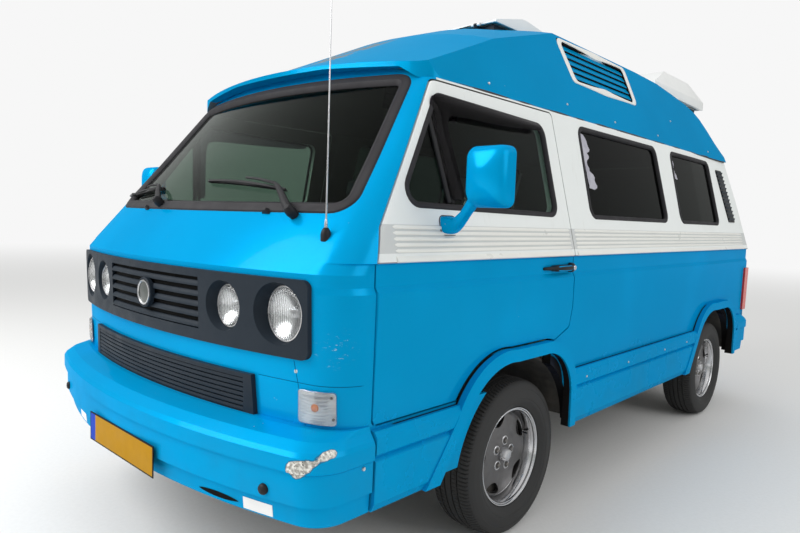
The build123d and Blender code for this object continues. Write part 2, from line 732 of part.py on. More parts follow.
# Louvre window in each side of the roof: outline of its frame in the side view
LOUVRE_FRAME = ((-392.0, 2222.0), (412.0, 2222.0), (430.0, 1998.0), (-336.0, 1998.0))
LOUVRE_OPENING = ((-372.0, 2200.0), (372.0, 2200.0), (392.0, 2022.0), (-318.0, 2022.0))
louvre_hole = side_prism(LOUVRE_FRAME, 16.0)
# Openings under the two roof hatches: low and high x, low and high y
FRONT_HATCH_HOLE = (-250.0, 250.0, -440.0, 40.0)
REAR_HATCH_HOLE = (-420.0, 420.0, 1060.0, 1500.0)
roof_outer = roof_form(0.0)
roof_inner = roof_form(ROOF_WALL)
with BuildPart() as roof_hollow:
    add(roof_inner)
    add(block(-THROUGH, THROUGH, -2600.0, BROW_REAR_Y, 1700.0, 2500.0), mode=Mode.SUBTRACT)
with BuildPart() as high_roof:
    add(roof_outer)
    add(roof_hollow.part, mode=Mode.SUBTRACT)
    # The header of the body stands under the brow
    for dx, dz in ((0, SEAT_CLEARANCE), (SEAT_CLEARANCE, 0), (-SEAT_CLEARANCE, 0)):
        add(Pos(dx, SEAT_CLEARANCE, dz) * header_prism, mode=Mode.SUBTRACT)
    add(louvre_hole, mode=Mode.SUBTRACT)
    for x0, x1, y0, y1 in (FRONT_HATCH_HOLE, REAR_HATCH_HOLE):
        add(block(x0, x1, y0, y1, 2060.0, 2500.0), mode=Mode.SUBTRACT)
save(high_roof, "high_roof")

# Louvre windows: a frame that fills the hole in the roof side, crossed by slats
SLATS = 5
SLAT_THICKNESS = 7.0
ROOF_LEAN = 0.4


def roof_side_x(z):
    """Half width of the roof's outer skin at a height."""
    return GUTTER_HALF - ROOF_LEAN * (z - GUTTER_Z)


with BuildPart() as louvre_one:
    add(roof_outer)
    add(roof_form(ROOF_WALL - 2.0), mode=Mode.SUBTRACT)
    add(side_prism(LOUVRE_FRAME, 16.0, 0.0, THROUGH), mode=Mode.INTERSECT)
    add(side_prism(LOUVRE_OPENING, 10.0, 0.0, THROUGH), mode=Mode.SUBTRACT)
    slat_pitch = (LOUVRE_OPENING[0][1] - LOUVRE_OPENING[2][1]) / SLATS
    for k in range(SLATS):
        z = LOUVRE_OPENING[2][1] + slat_pitch * (k + 0.45)
        x = roof_side_x(z)
        with BuildSketch(Plane.XZ.offset(400.0)):
            with BuildLine():
                Polyline(
                    (x - 26.0, z + 12.0), (x - 1.0, z - 16.0), (x - 1.0, z - 16.0 + SLAT_THICKNESS),
                    (x - 26.0, z + 12.0 + SLAT_THICKNESS), close=True,
                )
            make_face()
        extrude(amount=-(400.0 + 410.0))
    add(side_prism(LOUVRE_FRAME, 16.0, 0.0, THROUGH), mode=Mode.INTERSECT)
with BuildPart() as roof_louvres:
    add(louvre_one)
    mirror(about=Plane.YZ)
save(roof_louvres, "roof_louvres")

# Frames that the two roof hatches close on
FRONT_LID = (-300.0, 300.0, -480.0, 100.0)
FRONT_LID_Z = (2330.0, 2402.0)
REAR_LID = (-500.0, 500.0, 1150.0, 2150.0)
REAR_LID_Z = (2242.0, 2300.0, 2425.0)
REAR_LID_TOP = (880.0, 500.0, 1700.0)
FRAME_WALL = 22.0


def hatch_frame(box, z0, z1):
    x0, x1, y0, y1 = box
    with BuildPart() as frame:
        add(block(x0, x1, y0, y1, z0, z1))
        wall = FRAME_WALL
        add(block(x0 + wall, x1 - wall, y0 + wall, y1 - wall, z0, z1), mode=Mode.SUBTRACT)
    return frame.part


LID_GAP = 5.5
LID_BARREL_R = 8.0
LID_PIN_R = 3.5
LID_LEAF = 20.0
FRONT_LID_AXIS = (FRONT_LID[2] - 12.0, FRONT_LID_Z[0])
REAR_LID_AXIS = (REAR_LID[2] - 12.0, REAR_LID_Z[0])
# Hinges of the lids: places across the van, axis along and above
LID_HINGES = (
    (180.0, FRONT_LID_AXIS, FRONT_LID[2] + 26.0),
    (320.0, REAR_LID_AXIS, REAR_LID[2] + 27.0),
)


def lid_knuckles(row):
    """The lid's half of its hinges: two barrels and their leaves at each place."""
    reach, axis, _ = row
    with BuildPart() as knuckles:
        for x in (-reach, reach):
            for side in (-1, 1):
                x0, x1 = sorted((x + side * (LID_LEAF / 2 + 0.5), x + side * LID_LEAF * 1.4))
                add(drum(LID_BARREL_R, x0, x1, *axis))
                add(block(x0, x1, axis[0], axis[0] + 22.0, axis[1] + 0.5, axis[1] + 7.5))
                add(drum(LID_PIN_R + RUNNING_FIT, x0 - 1, x1 + 1, *axis), mode=Mode.SUBTRACT)
    return knuckles.part


with BuildPart() as hatch_frames:
    for reach, axis, wall_y in LID_HINGES:
        for x in (-reach, reach):
            add(drum(LID_BARREL_R, x - LID_LEAF / 2, x + LID_LEAF / 2, *axis))
            add(drum(LID_PIN_R, x - LID_LEAF * 1.4, x + LID_LEAF * 1.4, *axis))
            leaf_z = axis[1] - LID_GAP
            add(block(x - LID_LEAF / 2, x + LID_LEAF / 2, axis[0], wall_y, leaf_z - 7.0, leaf_z))
    add(hatch_frame((-270.0, 270.0, -455.0, 70.0), 2200.0, FRONT_LID_Z[0] - LID_GAP))
    add(hatch_frame((-455.0, 455.0, 1176.0, 2090.0), 2180.0, REAR_LID_Z[0] - LID_GAP))
    add(roof_outer, mode=Mode.SUBTRACT)
save(hatch_frames, "hatch_frames")

# Front hatch lid: a wedge that rises from its front hinge
with BuildPart() as front_hatch:
    with BuildSketch(Plane.YZ.offset(FRONT_LID[0])):
        with BuildLine():
            Polyline(
                (FRONT_LID[2], FRONT_LID_Z[0]), (FRONT_LID[3], FRONT_LID_Z[0]), (FRONT_LID[3], 2372.0),
                (-180.0, FRONT_LID_Z[1]), (-230.0, FRONT_LID_Z[1]),
                (FRONT_LID[2], FRONT_LID_Z[0] + 12.0), close=True,
            )
        make_face()
    extrude(amount=FRONT_LID[1] - FRONT_LID[0])
    with BuildSketch(Plane.XY.offset(FRONT_LID_Z[0])):
        with Locations((0, (FRONT_LID[2] + FRONT_LID[3]) / 2)):
            Rectangle(FRONT_LID[1] - FRONT_LID[0] - 24.0, FRONT_LID[3] - FRONT_LID[2] - 24.0)
    extrude(amount=8.0, mode=Mode.SUBTRACT)
    add(lid_knuckles(LID_HINGES[0]))
save(front_hatch, "front_hatch")

# Rear hatch lid: upright rim under a bevelled top, hollow below
with BuildPart() as rear_hatch:
    x0, x1, y0, y1 = REAR_LID
    rim_z, bevel_z, top_z = REAR_LID_Z
    add(block(x0, x1, y0, y1, rim_z, bevel_z))
    with BuildSketch(Plane.XY.offset(bevel_z)):
        with Locations(((x0 + x1) / 2, (y0 + y1) / 2)):
            Rectangle(x1 - x0, y1 - y0)
    with BuildSketch(Plane.XY.offset(top_z)):
        with Locations((0, REAR_LID_TOP[2])):
            Rectangle(REAR_LID_TOP[0], REAR_LID_TOP[1])
    loft(ruled=True)
    wall = FRAME_WALL
    add(block(x0 + wall, x1 - wall, y0 + wall, y1 - wall, rim_z, rim_z + 34.0), mode=Mode.SUBTRACT)
    add(lid_knuckles(LID_HINGES[1]))
save(rear_hatch, "rear_hatch")

# Bumper plan at each height: height, half width, tip ahead of the axis, corner
BUMPER_BOW = 3000.0
PLATE_SEAT_Y = -2289.0
BUMPER_ROWS = (
    (392.0, 924.0, -2264.0, 112.0),
    (455.0, 929.0, -2270.0, 116.0),
    (460.0, 940.0, PLATE_SEAT_Y, 122.0),
    (556.0, 941.0, PLATE_SEAT_Y, 122.0),
    (562.0, 948.0, BUMPER_FRONT_Y, 130.0),
    (608.0, 948.0, BUMPER_FRONT_Y, 130.0),
    (622.0, 942.0, -2294.0, 128.0),
    (644.0, 926.0, -2262.0, 118.0),
    (660.0, 919.0, -2200.0, 112.0),
)
SKIRT_FRONT_Y = -1926.0
BUMPER_END_Y = SKIRT_FRONT_Y - 6.0
BUMPER_WALL = 34.0
SKIRT_REAR_Y = 1840.0


def bumper_plan(row, end_y, inset):
    z, half, tip_y, corner = row
    w = half - inset
    yt = tip_y + inset
    ys = yt + sagitta(BUMPER_BOW, w)
    with BuildSketch(Plane.XY.offset(z)) as plan:
        with BuildLine():
            ThreePointArc((-w, ys), (0, yt), (w, ys))
            Line((w, ys), (w, end_y))
            Line((w, end_y), (-w, end_y))
            Line((-w, end_y), (-w, ys))
        make_face()
        fillet(plan.vertices().group_by(Axis.Y)[0], max(corner - inset, 10.0))
    return plan.sketch


def bumper_form(end_y):
    """A moulded bumper, hollow below, drawn at the front of the van."""
    outer = [bumper_plan(row, end_y, 0.0) for row in BUMPER_ROWS]
    inner = [bumper_plan(row, end_y + 2.0, BUMPER_WALL) for row in BUMPER_ROWS[:-3]]
    with BuildPart() as form:
        loft(outer, ruled=True)
        loft(inner, ruled=True, mode=Mode.SUBTRACT)
    return form.part


skin_clear = envelope(-SEAT_CLEARANCE)
with BuildPart() as front_bumper:
    add(bumper_form(BUMPER_END_Y))
    add(skin_clear, mode=Mode.SUBTRACT)
save(front_bumper, "front_bumper")

REAR_BUMPER_END_Y = SKIRT_REAR_Y + 6.0
rear_form = mirror(bumper_form(-REAR_BUMPER_END_Y), about=Plane.XZ)
with BuildPart() as rear_bumper:
    add(rear_form)
    add(skin_clear, mode=Mode.SUBTRACT)
save(rear_bumper, "rear_bumper")

# Sill skirts and wheel arch flares, one moulding to each side
SKIRT_SECTION = (
    (880.0, 392.0), (930.0, 392.0), (944.0, 420.0), (946.0, 552.0), (934.0, 562.0),
    (948.0, 576.0), (950.0, 628.0), (936.0, SKIRT_TOP_Z), (880.0, SKIRT_TOP_Z),
)
with BuildPart() as skirt_one:
    with BuildSketch(Plane.XZ.offset(-SKIRT_FRONT_Y)):
        with BuildLine():
            Polyline(*SKIRT_SECTION, close=True)
        make_face()
    extrude(amount=-(SKIRT_REAR_Y - SKIRT_FRONT_Y))
    for axle_y in (FRONT_AXLE_Y, REAR_AXLE_Y):
        add(arch_prism(ARCH_FLARE, axle_y, 880.0, 922.0 + FLARE_PROUD))
    for axle_y in (FRONT_AXLE_Y, REAR_AXLE_Y):
        add(arch_prism(ARCH_OPENING, axle_y, 800.0, 1000.0), mode=Mode.SUBTRACT)
    add(block(800, 1000, -2500, 2500, -200, 392), mode=Mode.SUBTRACT)
    add(block(800, 1000, SKIRT_REAR_Y, 2500, -200, 1000), mode=Mode.SUBTRACT)
    add(skin_clear, mode=Mode.SUBTRACT)
with BuildPart() as sill_skirts:
    add(skirt_one)
    mirror(about=Plane.YZ)
save(sill_skirts, "sill_skirts")

# Grille panel with four deep lamp bezels and louvres, and the lower grille
GRILLE_HALF = 811.0
GRILLE_Z = (862.0, 1102.0)
GRILLE_PROUD = 16.0
GRILLE_BACK = 3.0
LOUVRES = 5
LOUVRE_HALF = 335.0
LOUVRE_Z = (902.0, 1076.0)
# Steps of each louvre: height of its foot and head in the pitch, how proud it stands
LOUVRE_STEPS = ((0.14, 0.50, 14.0), (0.50, 0.80, 9.0))
LOWER_GRILLE_Z = (650.0, 787.0)
LOWER_GRILLE_HALF = (598.0, 587.0)
LOWER_SLATS = 7
LOWER_SLOT_HALF = 552.0
LOWER_SLOT_Z = (662.0, 772.0)
LOWER_STEPS = ((0.18, 0.78, 13.0),)
BOSS_R = 54.0


def nose_plate(proud, half, z0, z1, radius=0.0):
    """A plate that follows the nose and stands proud of it by so much."""
    with BuildPart() as plate:
        add(envelope(-proud))
        add(skin_clear, mode=Mode.SUBTRACT)
        add(front_prism(((-half, z0), (half, z0), (half, z1), (-half, z1)), radius), mode=Mode.INTERSECT)
    return plate.part


def louvres(count, half, z_range, steps):
    """Slats one above another across the nose, on a thin back plate."""
    pitch = (z_range[1] - z_range[0]) / count
    with BuildPart() as slats:
        add(nose_plate(GRILLE_BACK, half + 4.0, z_range[0] - 4.0, z_range[1] + 4.0))
        for foot, head, proud in steps:
            layer = nose_plate(proud, half + 4.0, z_range[0], z_range[1])
            for k in range(count):
                z = z_range[0] + k * pitch
                band = block(-THROUGH, THROUGH, -2600.0, 0.0, z + foot * pitch, z + head * pitch)
                add(layer & band)
    return slats.part


upper_louvres = louvres(LOUVRES, LOUVRE_HALF, LOUVRE_Z, LOUVRE_STEPS)
plate_form = envelope(-GRILLE_PROUD)
with BuildPart() as grille_panel:
    add(nose_plate(GRILLE_PROUD, GRILLE_HALF, GRILLE_Z[0], GRILLE_Z[1], 26.0))
    add(block(-LOUVRE_HALF, LOUVRE_HALF, -2300, -2050, LOUVRE_Z[0], LOUVRE_Z[1]), mode=Mode.SUBTRACT)
    add(upper_louvres)
    add(rod_y(BOSS_R, 0.0, LAMP_Z, NOSE_Y - 22.0, NOSE_Y - 1.0))
    for x, radius, rim in LAMPS:
        skin_y = nose_skin_y(x)
        slope = (rim - radius) / (LAMP_SET + GRILLE_PROUD)
        for sign in (-1, 1):
            tube = rod_y(rim + BEZEL_WALL, sign * x, LAMP_Z, skin_y - 50.0, skin_y + LAMP_DEPTH)
            add(tube & plate_form)
            mouth = radius + slope * (LAMP_SET + 50.0)
            cone = cone_y(mouth, radius, sign * x, LAMP_Z, skin_y - 50.0, skin_y + LAMP_SET)
            add(cone, mode=Mode.SUBTRACT)
            add(rod_y(radius, sign * x, LAMP_Z, skin_y, skin_y + LAMP_DEPTH + 1.0), mode=Mode.SUBTRACT)
save(grille_panel, "grille_panel")

lower_louvres = louvres(LOWER_SLATS, LOWER_SLOT_HALF, LOWER_SLOT_Z, LOWER_STEPS)
with BuildPart() as lower_grille:
    add(envelope(-GRILLE_PROUD))
    add(skin_clear, mode=Mode.SUBTRACT)
    add(front_prism((
        (-LOWER_GRILLE_HALF[0], LOWER_GRILLE_Z[0]), (LOWER_GRILLE_HALF[0], LOWER_GRILLE_Z[0]),
        (LOWER_GRILLE_HALF[1], LOWER_GRILLE_Z[1]), (-LOWER_GRILLE_HALF[1], LOWER_GRILLE_Z[1])
    )), mode=Mode.INTERSECT)
    add(block(-LOWER_SLOT_HALF, LOWER_SLOT_HALF, -2300, -2050, LOWER_SLOT_Z[0], LOWER_SLOT_Z[1]),
        mode=Mode.SUBTRACT)
    add(lower_louvres)
    # The panel clears the top of the bumper
    add(front_bumper.part, mode=Mode.SUBTRACT)
save(lower_grille, "lower_grille")


def corner_lens(form, x0, x1, y0, y1, z0, z1):
    """A lens that follows a corner of the body."""
    with BuildPart() as lens:
        add(form)
        add(skin_clear, mode=Mode.SUBTRACT)
        add(block(x0, x1, y0, y1, z0, z1), mode=Mode.INTERSECT)
    return lens.part


# Headlamps and corner indicators
indicator_form = envelope(-10.0)
indicators = [corner_lens(indicator_form, *ends, -2300, -1950, 668.0, 775.0)
              for ends in ((-885.0, -765.0), (765.0, 885.0))]
with BuildPart() as front_lamps:
    for x, radius, _ in LAMPS:
        for sign in (-1, 1):
            skin_y = nose_skin_y(x)
            add(rod_y(radius - SEAT_CLEARANCE, sign * x, LAMP_Z, skin_y + LAMP_SET, skin_y + LAMP_DEPTH))
    for lens in indicators:
        add(lens)
save(front_lamps, "front_lamps")

tail_form = envelope(-14.0)
tail_lenses = [corner_lens(tail_form, *ends, 2060.0, 2300.0, 690.0, 1010.0)
               for ends in ((-930.0, -735.0), (735.0, 930.0))]
with BuildPart() as tail_lamps:
    for lens in tail_lenses:
        add(lens)
save(tail_lamps, "tail_lamps")

# Blank number plates, front on the bumper and rear on the panel
PLATE = (520.0, 110.0, 3.0)
FRONT_PLATE_Z = 449.0
REAR_PLATE_Y = 2213.2
REAR_PLATE_Z = 770.0
with BuildPart() as number_plates:
    for y, z in ((PLATE_SEAT_Y - SEAT_CLEARANCE - PLATE[2], FRONT_PLATE_Z), (REAR_PLATE_Y, REAR_PLATE_Z)):
        add(block(-PLATE[0] / 2, PLATE[0] / 2, y, y + PLATE[2], z - PLATE[1] / 2, z + PLATE[1] / 2))
save(number_plates, "number_plates")

# Vents behind the rear side windows
VENT_OUTLINE = ((1640.0, 1722.0), (1780.0, 1722.0), (1900.0, 1350.0), (1742.0, 1350.0))
vent_form = envelope(-5.0)
vent_prism = side_prism(VENT_OUTLINE, 14.0)
with BuildPart() as pillar_vents:
    add(vent_form)
    add(skin_clear, mode=Mode.SUBTRACT)
    add(vent_prism, mode=Mode.INTERSECT)
save(pillar_vents, "pillar_vents")

# Wipers on the windscreen, and the whip aerial beside it
with BuildPart() as wiper_strip:
    for x, s in ((600.0, -262.0), (-235.0, -292.0)):
        with BuildSketch(screen_plane.offset(-200.0)):
            with BuildLine():
                Polyline((x, s - 14), (x + 14, s), (x - 20, s + 26), (x - 430, s + 105), (x - 432, s + 93),
                         (x - 30, s + 4), close=True)
            make_face()
        extrude(amount=320.0)
wiper_form = envelope(-24.0)
wiper_clear = envelope(-8.0)
with BuildPart() as wipers_and_aerial:
    add(wiper_form)
    add(wiper_clear, mode=Mode.SUBTRACT)
    add(wiper_strip.part, mode=Mode.INTERSECT)
    # Spindles down to the nose
    for x, s in ((600.0, -262.0), (-235.0, -292.0)):
        with BuildSketch(screen_plane.offset(-200.0)):
            with Locations((x, s)):
                Circle(9.0)
        extrude(amount=210.0)
    add(skin_clear, mode=Mode.SUBTRACT)
    with BuildSketch(Plane.XY.offset(1180.0)):
        with Locations((806.0, -1990.0)):
            Circle(12.0)
    extrude(amount=60.0)
    with BuildSketch(Plane.XY.offset(1200.0)):
        with Locations((806.0, -1990.0)):
            Circle(2.5)
    extrude(amount=930.0)
    add(skin_clear, mode=Mode.SUBTRACT)
save(wipers_and_aerial, "wipers_and_aerial")

# Dashboard with the steering column
STEER_CENTRE = (400.0, -1600.0, 1130.0)
STEER_RAKE = 30.0
STEER_R = 200.0
column_plane = Plane(
    origin=STEER_CENTRE,
    x_dir=(1, 0, 0),
    z_dir=(0, math.sin(math.radians(STEER_RAKE)), math.cos(math.radians(STEER_RAKE))),
)
DASH_HALF = 855.0
COLUMN_LENGTH = 790.0
with BuildPart() as dashboard:
    add(side_prism((
        (-2040.0, 880.0), (-2040.0, 1088.0), (-2160.0, 1092.0), (-2160.0, 1120.0), (-2080.0, 1172.0),
        (-1800.0, 1150.0), (-1765.0, 1090.0), (-1800.0, 950.0), (-1900.0, 880.0),
    ), 0.0, -DASH_HALF, DASH_HALF))
    add(cabin_form, mode=Mode.INTERSECT)
    with BuildSketch(column_plane.offset(-COLUMN_LENGTH)):
        Circle(32.0)
    extrude(amount=COLUMN_LENGTH - 50.0)
    add(block(350, 450, -1790, -1690, 960, 1085))
    add(block(-THROUGH, THROUGH, -2500, 0, 0, FLOOR_Z + SEAT_CLEARANCE), mode=Mode.SUBTRACT)
    for x, _, rim in LAMPS:
        for sign in (-1, 1):
            add(bezel_room(sign * x, rim, 4.0), mode=Mode.SUBTRACT)
save(dashboard, "dashboard")

with BuildPart() as steering_wheel:
    with BuildSketch(Plane(origin=STEER_CENTRE, x_dir=(1, 0, 0), z_dir=tuple(column_plane.y_dir))):
        with Locations((STEER_R - 13.0, 0)):
            RegularPolygon(13.0, 8)
    revolve(axis=Axis(STEER_CENTRE, tuple(column_plane.z_dir)))
    with BuildSketch(column_plane.offset(-49.5)):
        Circle(30.0)
    extrude(amount=50.0)
    for angle in (0.0, 180.0, 270.0):
        with BuildSketch(column_plane.offset(-6.0)):
            with PolarLocations(100.0, 1, start_angle=angle):
                Rectangle(180.0, 32.0)
        extrude(amount=10.0)
save(steering_wheel, "steering_wheel")

# Seats of the cab: cushion, back and head rest as one soft form to each seat
with BuildPart() as front_seats:
    for sign in (-1, 1):
        with BuildSketch(Plane.YZ.offset(sign * SEAT_X - SEAT_HALF)):
            with BuildLine():
                Polyline(
                    (-1340.0, 862.0), (-1345.0, 975.0), (-1290.0, 992.0), (-900.0, 965.0),
                    (-770.0, 1530.0), (-690.0, 1530.0), (-800.0, 862.0), close=True,
                )
            make_face()
        extrude(amount=2 * SEAT_HALF)
save(front_seats, "front_seats")

# Rear bench: cushion, back and the mattress on the engine deck
with BuildPart() as rear_bench:
    add(block(-560, 560, 520, 968, 790.5, 900))
    add(block(-640, 640, 1010, 1110, 800.5, 1330))
    add(block(-640, 640, 1120, 2080, 800.5, 895))
save(rear_bench, "rear_bench")

# Kitchen unit along the left wall, and the box under the bench
with BuildPart() as kitchen_cabinet:
    add(block(420, 900, -560, 480, FLOOR_Z + 0.2, 1290))
    add(block(-600, 600, 540, 965, FLOOR_Z + 0.2, 790))
    add(envelope(WALL + 1.0), mode=Mode.INTERSECT)
save(kitchen_cabinet, "kitchen_cabinet")

# Running gear below the floor
with BuildPart() as engine_block:
    add(block(-300, 300, 1500, 2050, 300, 720))
    add(block(-150, 150, 1100, 1500, 250, 480))
    add(block(-349.7, 349.7, 1600, 1660, 350, 410))
save(engine_block, "engine_block")

with BuildPart() as silencer:
    add(drum(85, -330, 330, 2135.3, 305))
    add(rod_y(25, 250, 265, 2135, 2290))
save(silencer, "silencer")

with BuildPart() as fuel_tank:
    add(block(-349.7, 349.7, -560, -60, 260, 419.7))
save(fuel_tank, "fuel_tank")

with BuildPart() as spare_wheel:
    with BuildSketch(Plane.XY.offset(238.0)):
        with Locations((0, -1720.0)):
            Circle(318.0)
    extrude(amount=419.7 - 238.0)
save(spare_wheel, "spare_wheel")

KNUCKLE_Z = (255.0, 381.0)
JOURNAL_R = 12.0
ARM_LENGTH_Z = 26.0
with BuildPart() as front_suspension:
    add(block(-430, 430, FRONT_AXLE_Y - 60, FRONT_AXLE_Y + 60, 262, RAIL_Z[0]))
    for sign in (-1, 1):
        for z0, reach in ((KNUCKLE_Z[0] - ARM_LENGTH_Z - 1, 400.0), (KNUCKLE_Z[1] + 1, RAIL_X[1] + 0.3)):
            x0, x1 = sorted((sign * reach, sign * (KINGPIN_X - 10)))
            add(block(x0, x1, FRONT_AXLE_Y - 26, FRONT_AXLE_Y + 26, z0, z0 + ARM_LENGTH_Z))
            with BuildSketch(Plane.XY.offset(z0)):
                with Locations((sign * KINGPIN_X, FRONT_AXLE_Y)):
                    Circle(28.0)
            extrude(amount=ARM_LENGTH_Z)
            with BuildSketch(Plane.XY.offset(z0)):
                with Locations((sign * KINGPIN_X, FRONT_AXLE_Y)):
                    Circle(JOURNAL_R + RUNNING_FIT)
            extrude(amount=ARM_LENGTH_Z, mode=Mode.SUBTRACT)
        # Lower arm hangs from the beam, the upper one from the rail
        x0, x1 = sorted((sign * 400.0, sign * 430.0))
        add(block(x0, x1, FRONT_AXLE_Y - 26, FRONT_AXLE_Y + 26, KNUCKLE_Z[0] - ARM_LENGTH_Z - 1, 300))
        x0, x1 = sorted((sign * (RAIL_X[1] + 0.3), sign * (RAIL_X[1] + 20)))
        add(block(x0, x1, FRONT_AXLE_Y - 26, FRONT_AXLE_Y + 26, 300, 400))
save(front_suspension, "front_suspension")

SPINDLE_REACH = 34.0
for side_name, sign in (("left", 1), ("right", -1)):
    with BuildPart() as knuckle:
        with BuildSketch(Plane.XY.offset(KNUCKLE_Z[0])):
            with Locations((sign * KINGPIN_X, FRONT_AXLE_Y)):
                Circle(22.0)
        extrude(amount=KNUCKLE_Z[1] - KNUCKLE_Z[0])
        with BuildSketch(Plane.XY.offset(KNUCKLE_Z[0] - ARM_LENGTH_Z)):
            with Locations((sign * KINGPIN_X, FRONT_AXLE_Y)):
                Circle(JOURNAL_R)
        extrude(amount=KNUCKLE_Z[1] - KNUCKLE_Z[0] + 2 * ARM_LENGTH_Z)
        x0, x1 = sorted((sign * KINGPIN_X, sign * (FRONT_TRACK / 2 + SPINDLE_REACH)))
        add(drum(SPINDLE_R, x0, x1, FRONT_AXLE_Y, AXLE_Z))
    save(knuckle, f"knuckle_{side_name}")

with BuildPart() as rear_suspension:
    for sign in (-1, 1):
        x0, x1 = sorted((sign * (RAIL_X[1] + 0.3), sign * 600))
        add(drum(28, x0, x1, 1030, 375))
        x0, x1 = sorted((sign * 545, sign * 600))
        arm_outline = ((1005, 350), (1005, 400), (1060, 400), (1480, 360), (1480, 295), (1380, 290))
        add(side_prism(arm_outline, 0.0, x0, x1))
        x0, x1 = sorted((sign * 545, sign * 640))
        add(drum(55, x0, x1, REAR_AXLE_Y, AXLE_Z))
        x0, x1 = sorted((sign * 150.3, sign * 545))
        add(drum(13, x0, x1, REAR_AXLE_Y, AXLE_Z))
        x0, x1 = sorted((sign * 640, sign * (REAR_TRACK / 2 + SPINDLE_REACH)))
        add(drum(SPINDLE_R, x0, x1, REAR_AXLE_Y, AXLE_Z))
save(rear_suspension, "rear_suspension")

# Wheels. Sections are drawn out along the axle from the wheel's middle
TYRE_SECTION = (
    (-73.7, 193.0), (-73.7, 206.0), (-TYRE_HALF, 252.0), (-86.0, 314.0), (-60.0, TYRE_R),
    (60.0, TYRE_R), (86.0, 314.0), (TYRE_HALF, 252.0), (73.7, 206.0), (73.7, 193.0),
)
RIM_SECTION = (
    (-RIM_HALF, RIM_LIP_R), (-74.0, RIM_LIP_R), (-74.0, 192.7), (-50.0, 180.0), (30.0, 180.0),
    (74.0, 192.7), (74.0, RIM_LIP_R), (RIM_HALF, RIM_LIP_R), (RIM_HALF, 196.0), (22.0, 172.0),
    (34.0, 150.0), (44.0, 60.0), (66.0, 26.0), (66.0, 0.0), (36.0, 0.0), (36.0, SPINDLE_R),
    (-22.0, SPINDLE_R), (-22.0, 60.0), (20.0, 70.0), (20.0, 158.0), (8.0, 168.0), (-50.0, 168.0),
    (-RIM_HALF, 190.0),
)


def wheel_plane(sign, track, axle_y):
    """Upright plane through the axle, its first direction outward."""
    return Plane(origin=(sign * track / 2, axle_y, AXLE_Z), x_dir=(sign, 0, 0), z_dir=(0, -sign, 0))


WHEELS = (
    ("front_left", 1, FRONT_TRACK, FRONT_AXLE_Y),
    ("front_right", -1, FRONT_TRACK, FRONT_AXLE_Y),
    ("rear_left", 1, REAR_TRACK, REAR_AXLE_Y),
    ("rear_right", -1, REAR_TRACK, REAR_AXLE_Y),
)
# Windows of the rim, each the outer half of a round hole
HOLES = 5
HOLE_REACH = 128.0
HOLE_R = 36.0
HOLE_LIMIT = 160.0
for place, sign, track, axle_y in WHEELS:
    plane = wheel_plane(sign, track, axle_y)
    spin = Axis((sign * track / 2, axle_y, AXLE_Z), (1, 0, 0))
    with BuildPart() as tyre:
        with BuildSketch(plane):
            with BuildLine():
                Polyline(*TYRE_SECTION, close=True)
            make_face()
        revolve(axis=spin)
    save(tyre, f"tyre_{place}")
    face = Plane(origin=(sign * track / 2, axle_y, AXLE_Z), x_dir=(0, sign, 0), z_dir=(sign, 0, 0))
    with BuildPart() as rim:
        with BuildSketch(plane):
            with BuildLine():
                Polyline(*RIM_SECTION, close=True)
            make_face()
        revolve(axis=spin)
        with BuildSketch(face.offset(4.0)):
            with PolarLocations(HOLE_REACH, HOLES, start_angle=90.0):
                Circle(HOLE_R)
            Circle(HOLE_REACH - 4.0, mode=Mode.SUBTRACT)
            Circle(HOLE_LIMIT, mode=Mode.INTERSECT)
        extrude(amount=40.0, mode=Mode.SUBTRACT)
    save(rim, f"rim_{place}")
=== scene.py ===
import json
import math

import bpy
from mathutils import Matrix, Vector, noise
from mathutils.bvhtree import BVHTree

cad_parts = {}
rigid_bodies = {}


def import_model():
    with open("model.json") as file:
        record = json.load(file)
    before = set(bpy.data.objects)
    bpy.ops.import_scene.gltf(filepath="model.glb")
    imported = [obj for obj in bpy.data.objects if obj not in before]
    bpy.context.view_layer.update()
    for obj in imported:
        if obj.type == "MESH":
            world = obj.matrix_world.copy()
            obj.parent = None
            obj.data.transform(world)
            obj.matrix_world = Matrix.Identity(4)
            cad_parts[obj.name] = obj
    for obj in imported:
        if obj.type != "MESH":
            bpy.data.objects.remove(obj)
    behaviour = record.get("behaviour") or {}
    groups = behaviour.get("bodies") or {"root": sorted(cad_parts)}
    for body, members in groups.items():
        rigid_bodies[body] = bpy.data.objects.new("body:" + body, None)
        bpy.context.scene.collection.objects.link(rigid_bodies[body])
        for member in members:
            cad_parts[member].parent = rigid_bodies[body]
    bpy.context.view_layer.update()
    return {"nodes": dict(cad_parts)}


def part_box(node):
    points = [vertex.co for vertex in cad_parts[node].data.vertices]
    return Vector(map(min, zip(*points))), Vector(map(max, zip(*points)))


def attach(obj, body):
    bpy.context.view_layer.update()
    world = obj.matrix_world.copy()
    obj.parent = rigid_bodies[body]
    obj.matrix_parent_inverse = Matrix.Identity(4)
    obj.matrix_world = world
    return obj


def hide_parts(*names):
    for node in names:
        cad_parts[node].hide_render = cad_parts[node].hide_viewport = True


bl_info = {
    "name": "Camper van finisher",
    "version": (1, 0, 0),
    "blender": (4, 5, 0),
    "location": "View3D > Sidebar > Camper",
    "description": "Paints, glazes, shoes and furnishes the packed camper van, and stands it in a plain studio",
    "category": "Object",
}

for leftover in list(bpy.data.objects):
    bpy.data.objects.remove(leftover)
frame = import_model()
NODES = frame["nodes"]

# Heights that several pieces share, in metres: the belt, the gutter, the hubs and the top of the skirts
BELT_Z, GUTTER_Z, AXLE_Z, SKIRT_Z = 1.155, 1.800, 0.325, 0.80
# Places of the axles along the van, and the half length and rise of the arches over them
FRONT_AXLE_Y, WHEELBASE = -1.0475, 2.461
ARCH_HALF, ARCH_RISE = 0.345, 0.425
# Places of the seats across the van
SEAT_X = 0.400
SIDES = ((1, "left"), (-1, "right"))
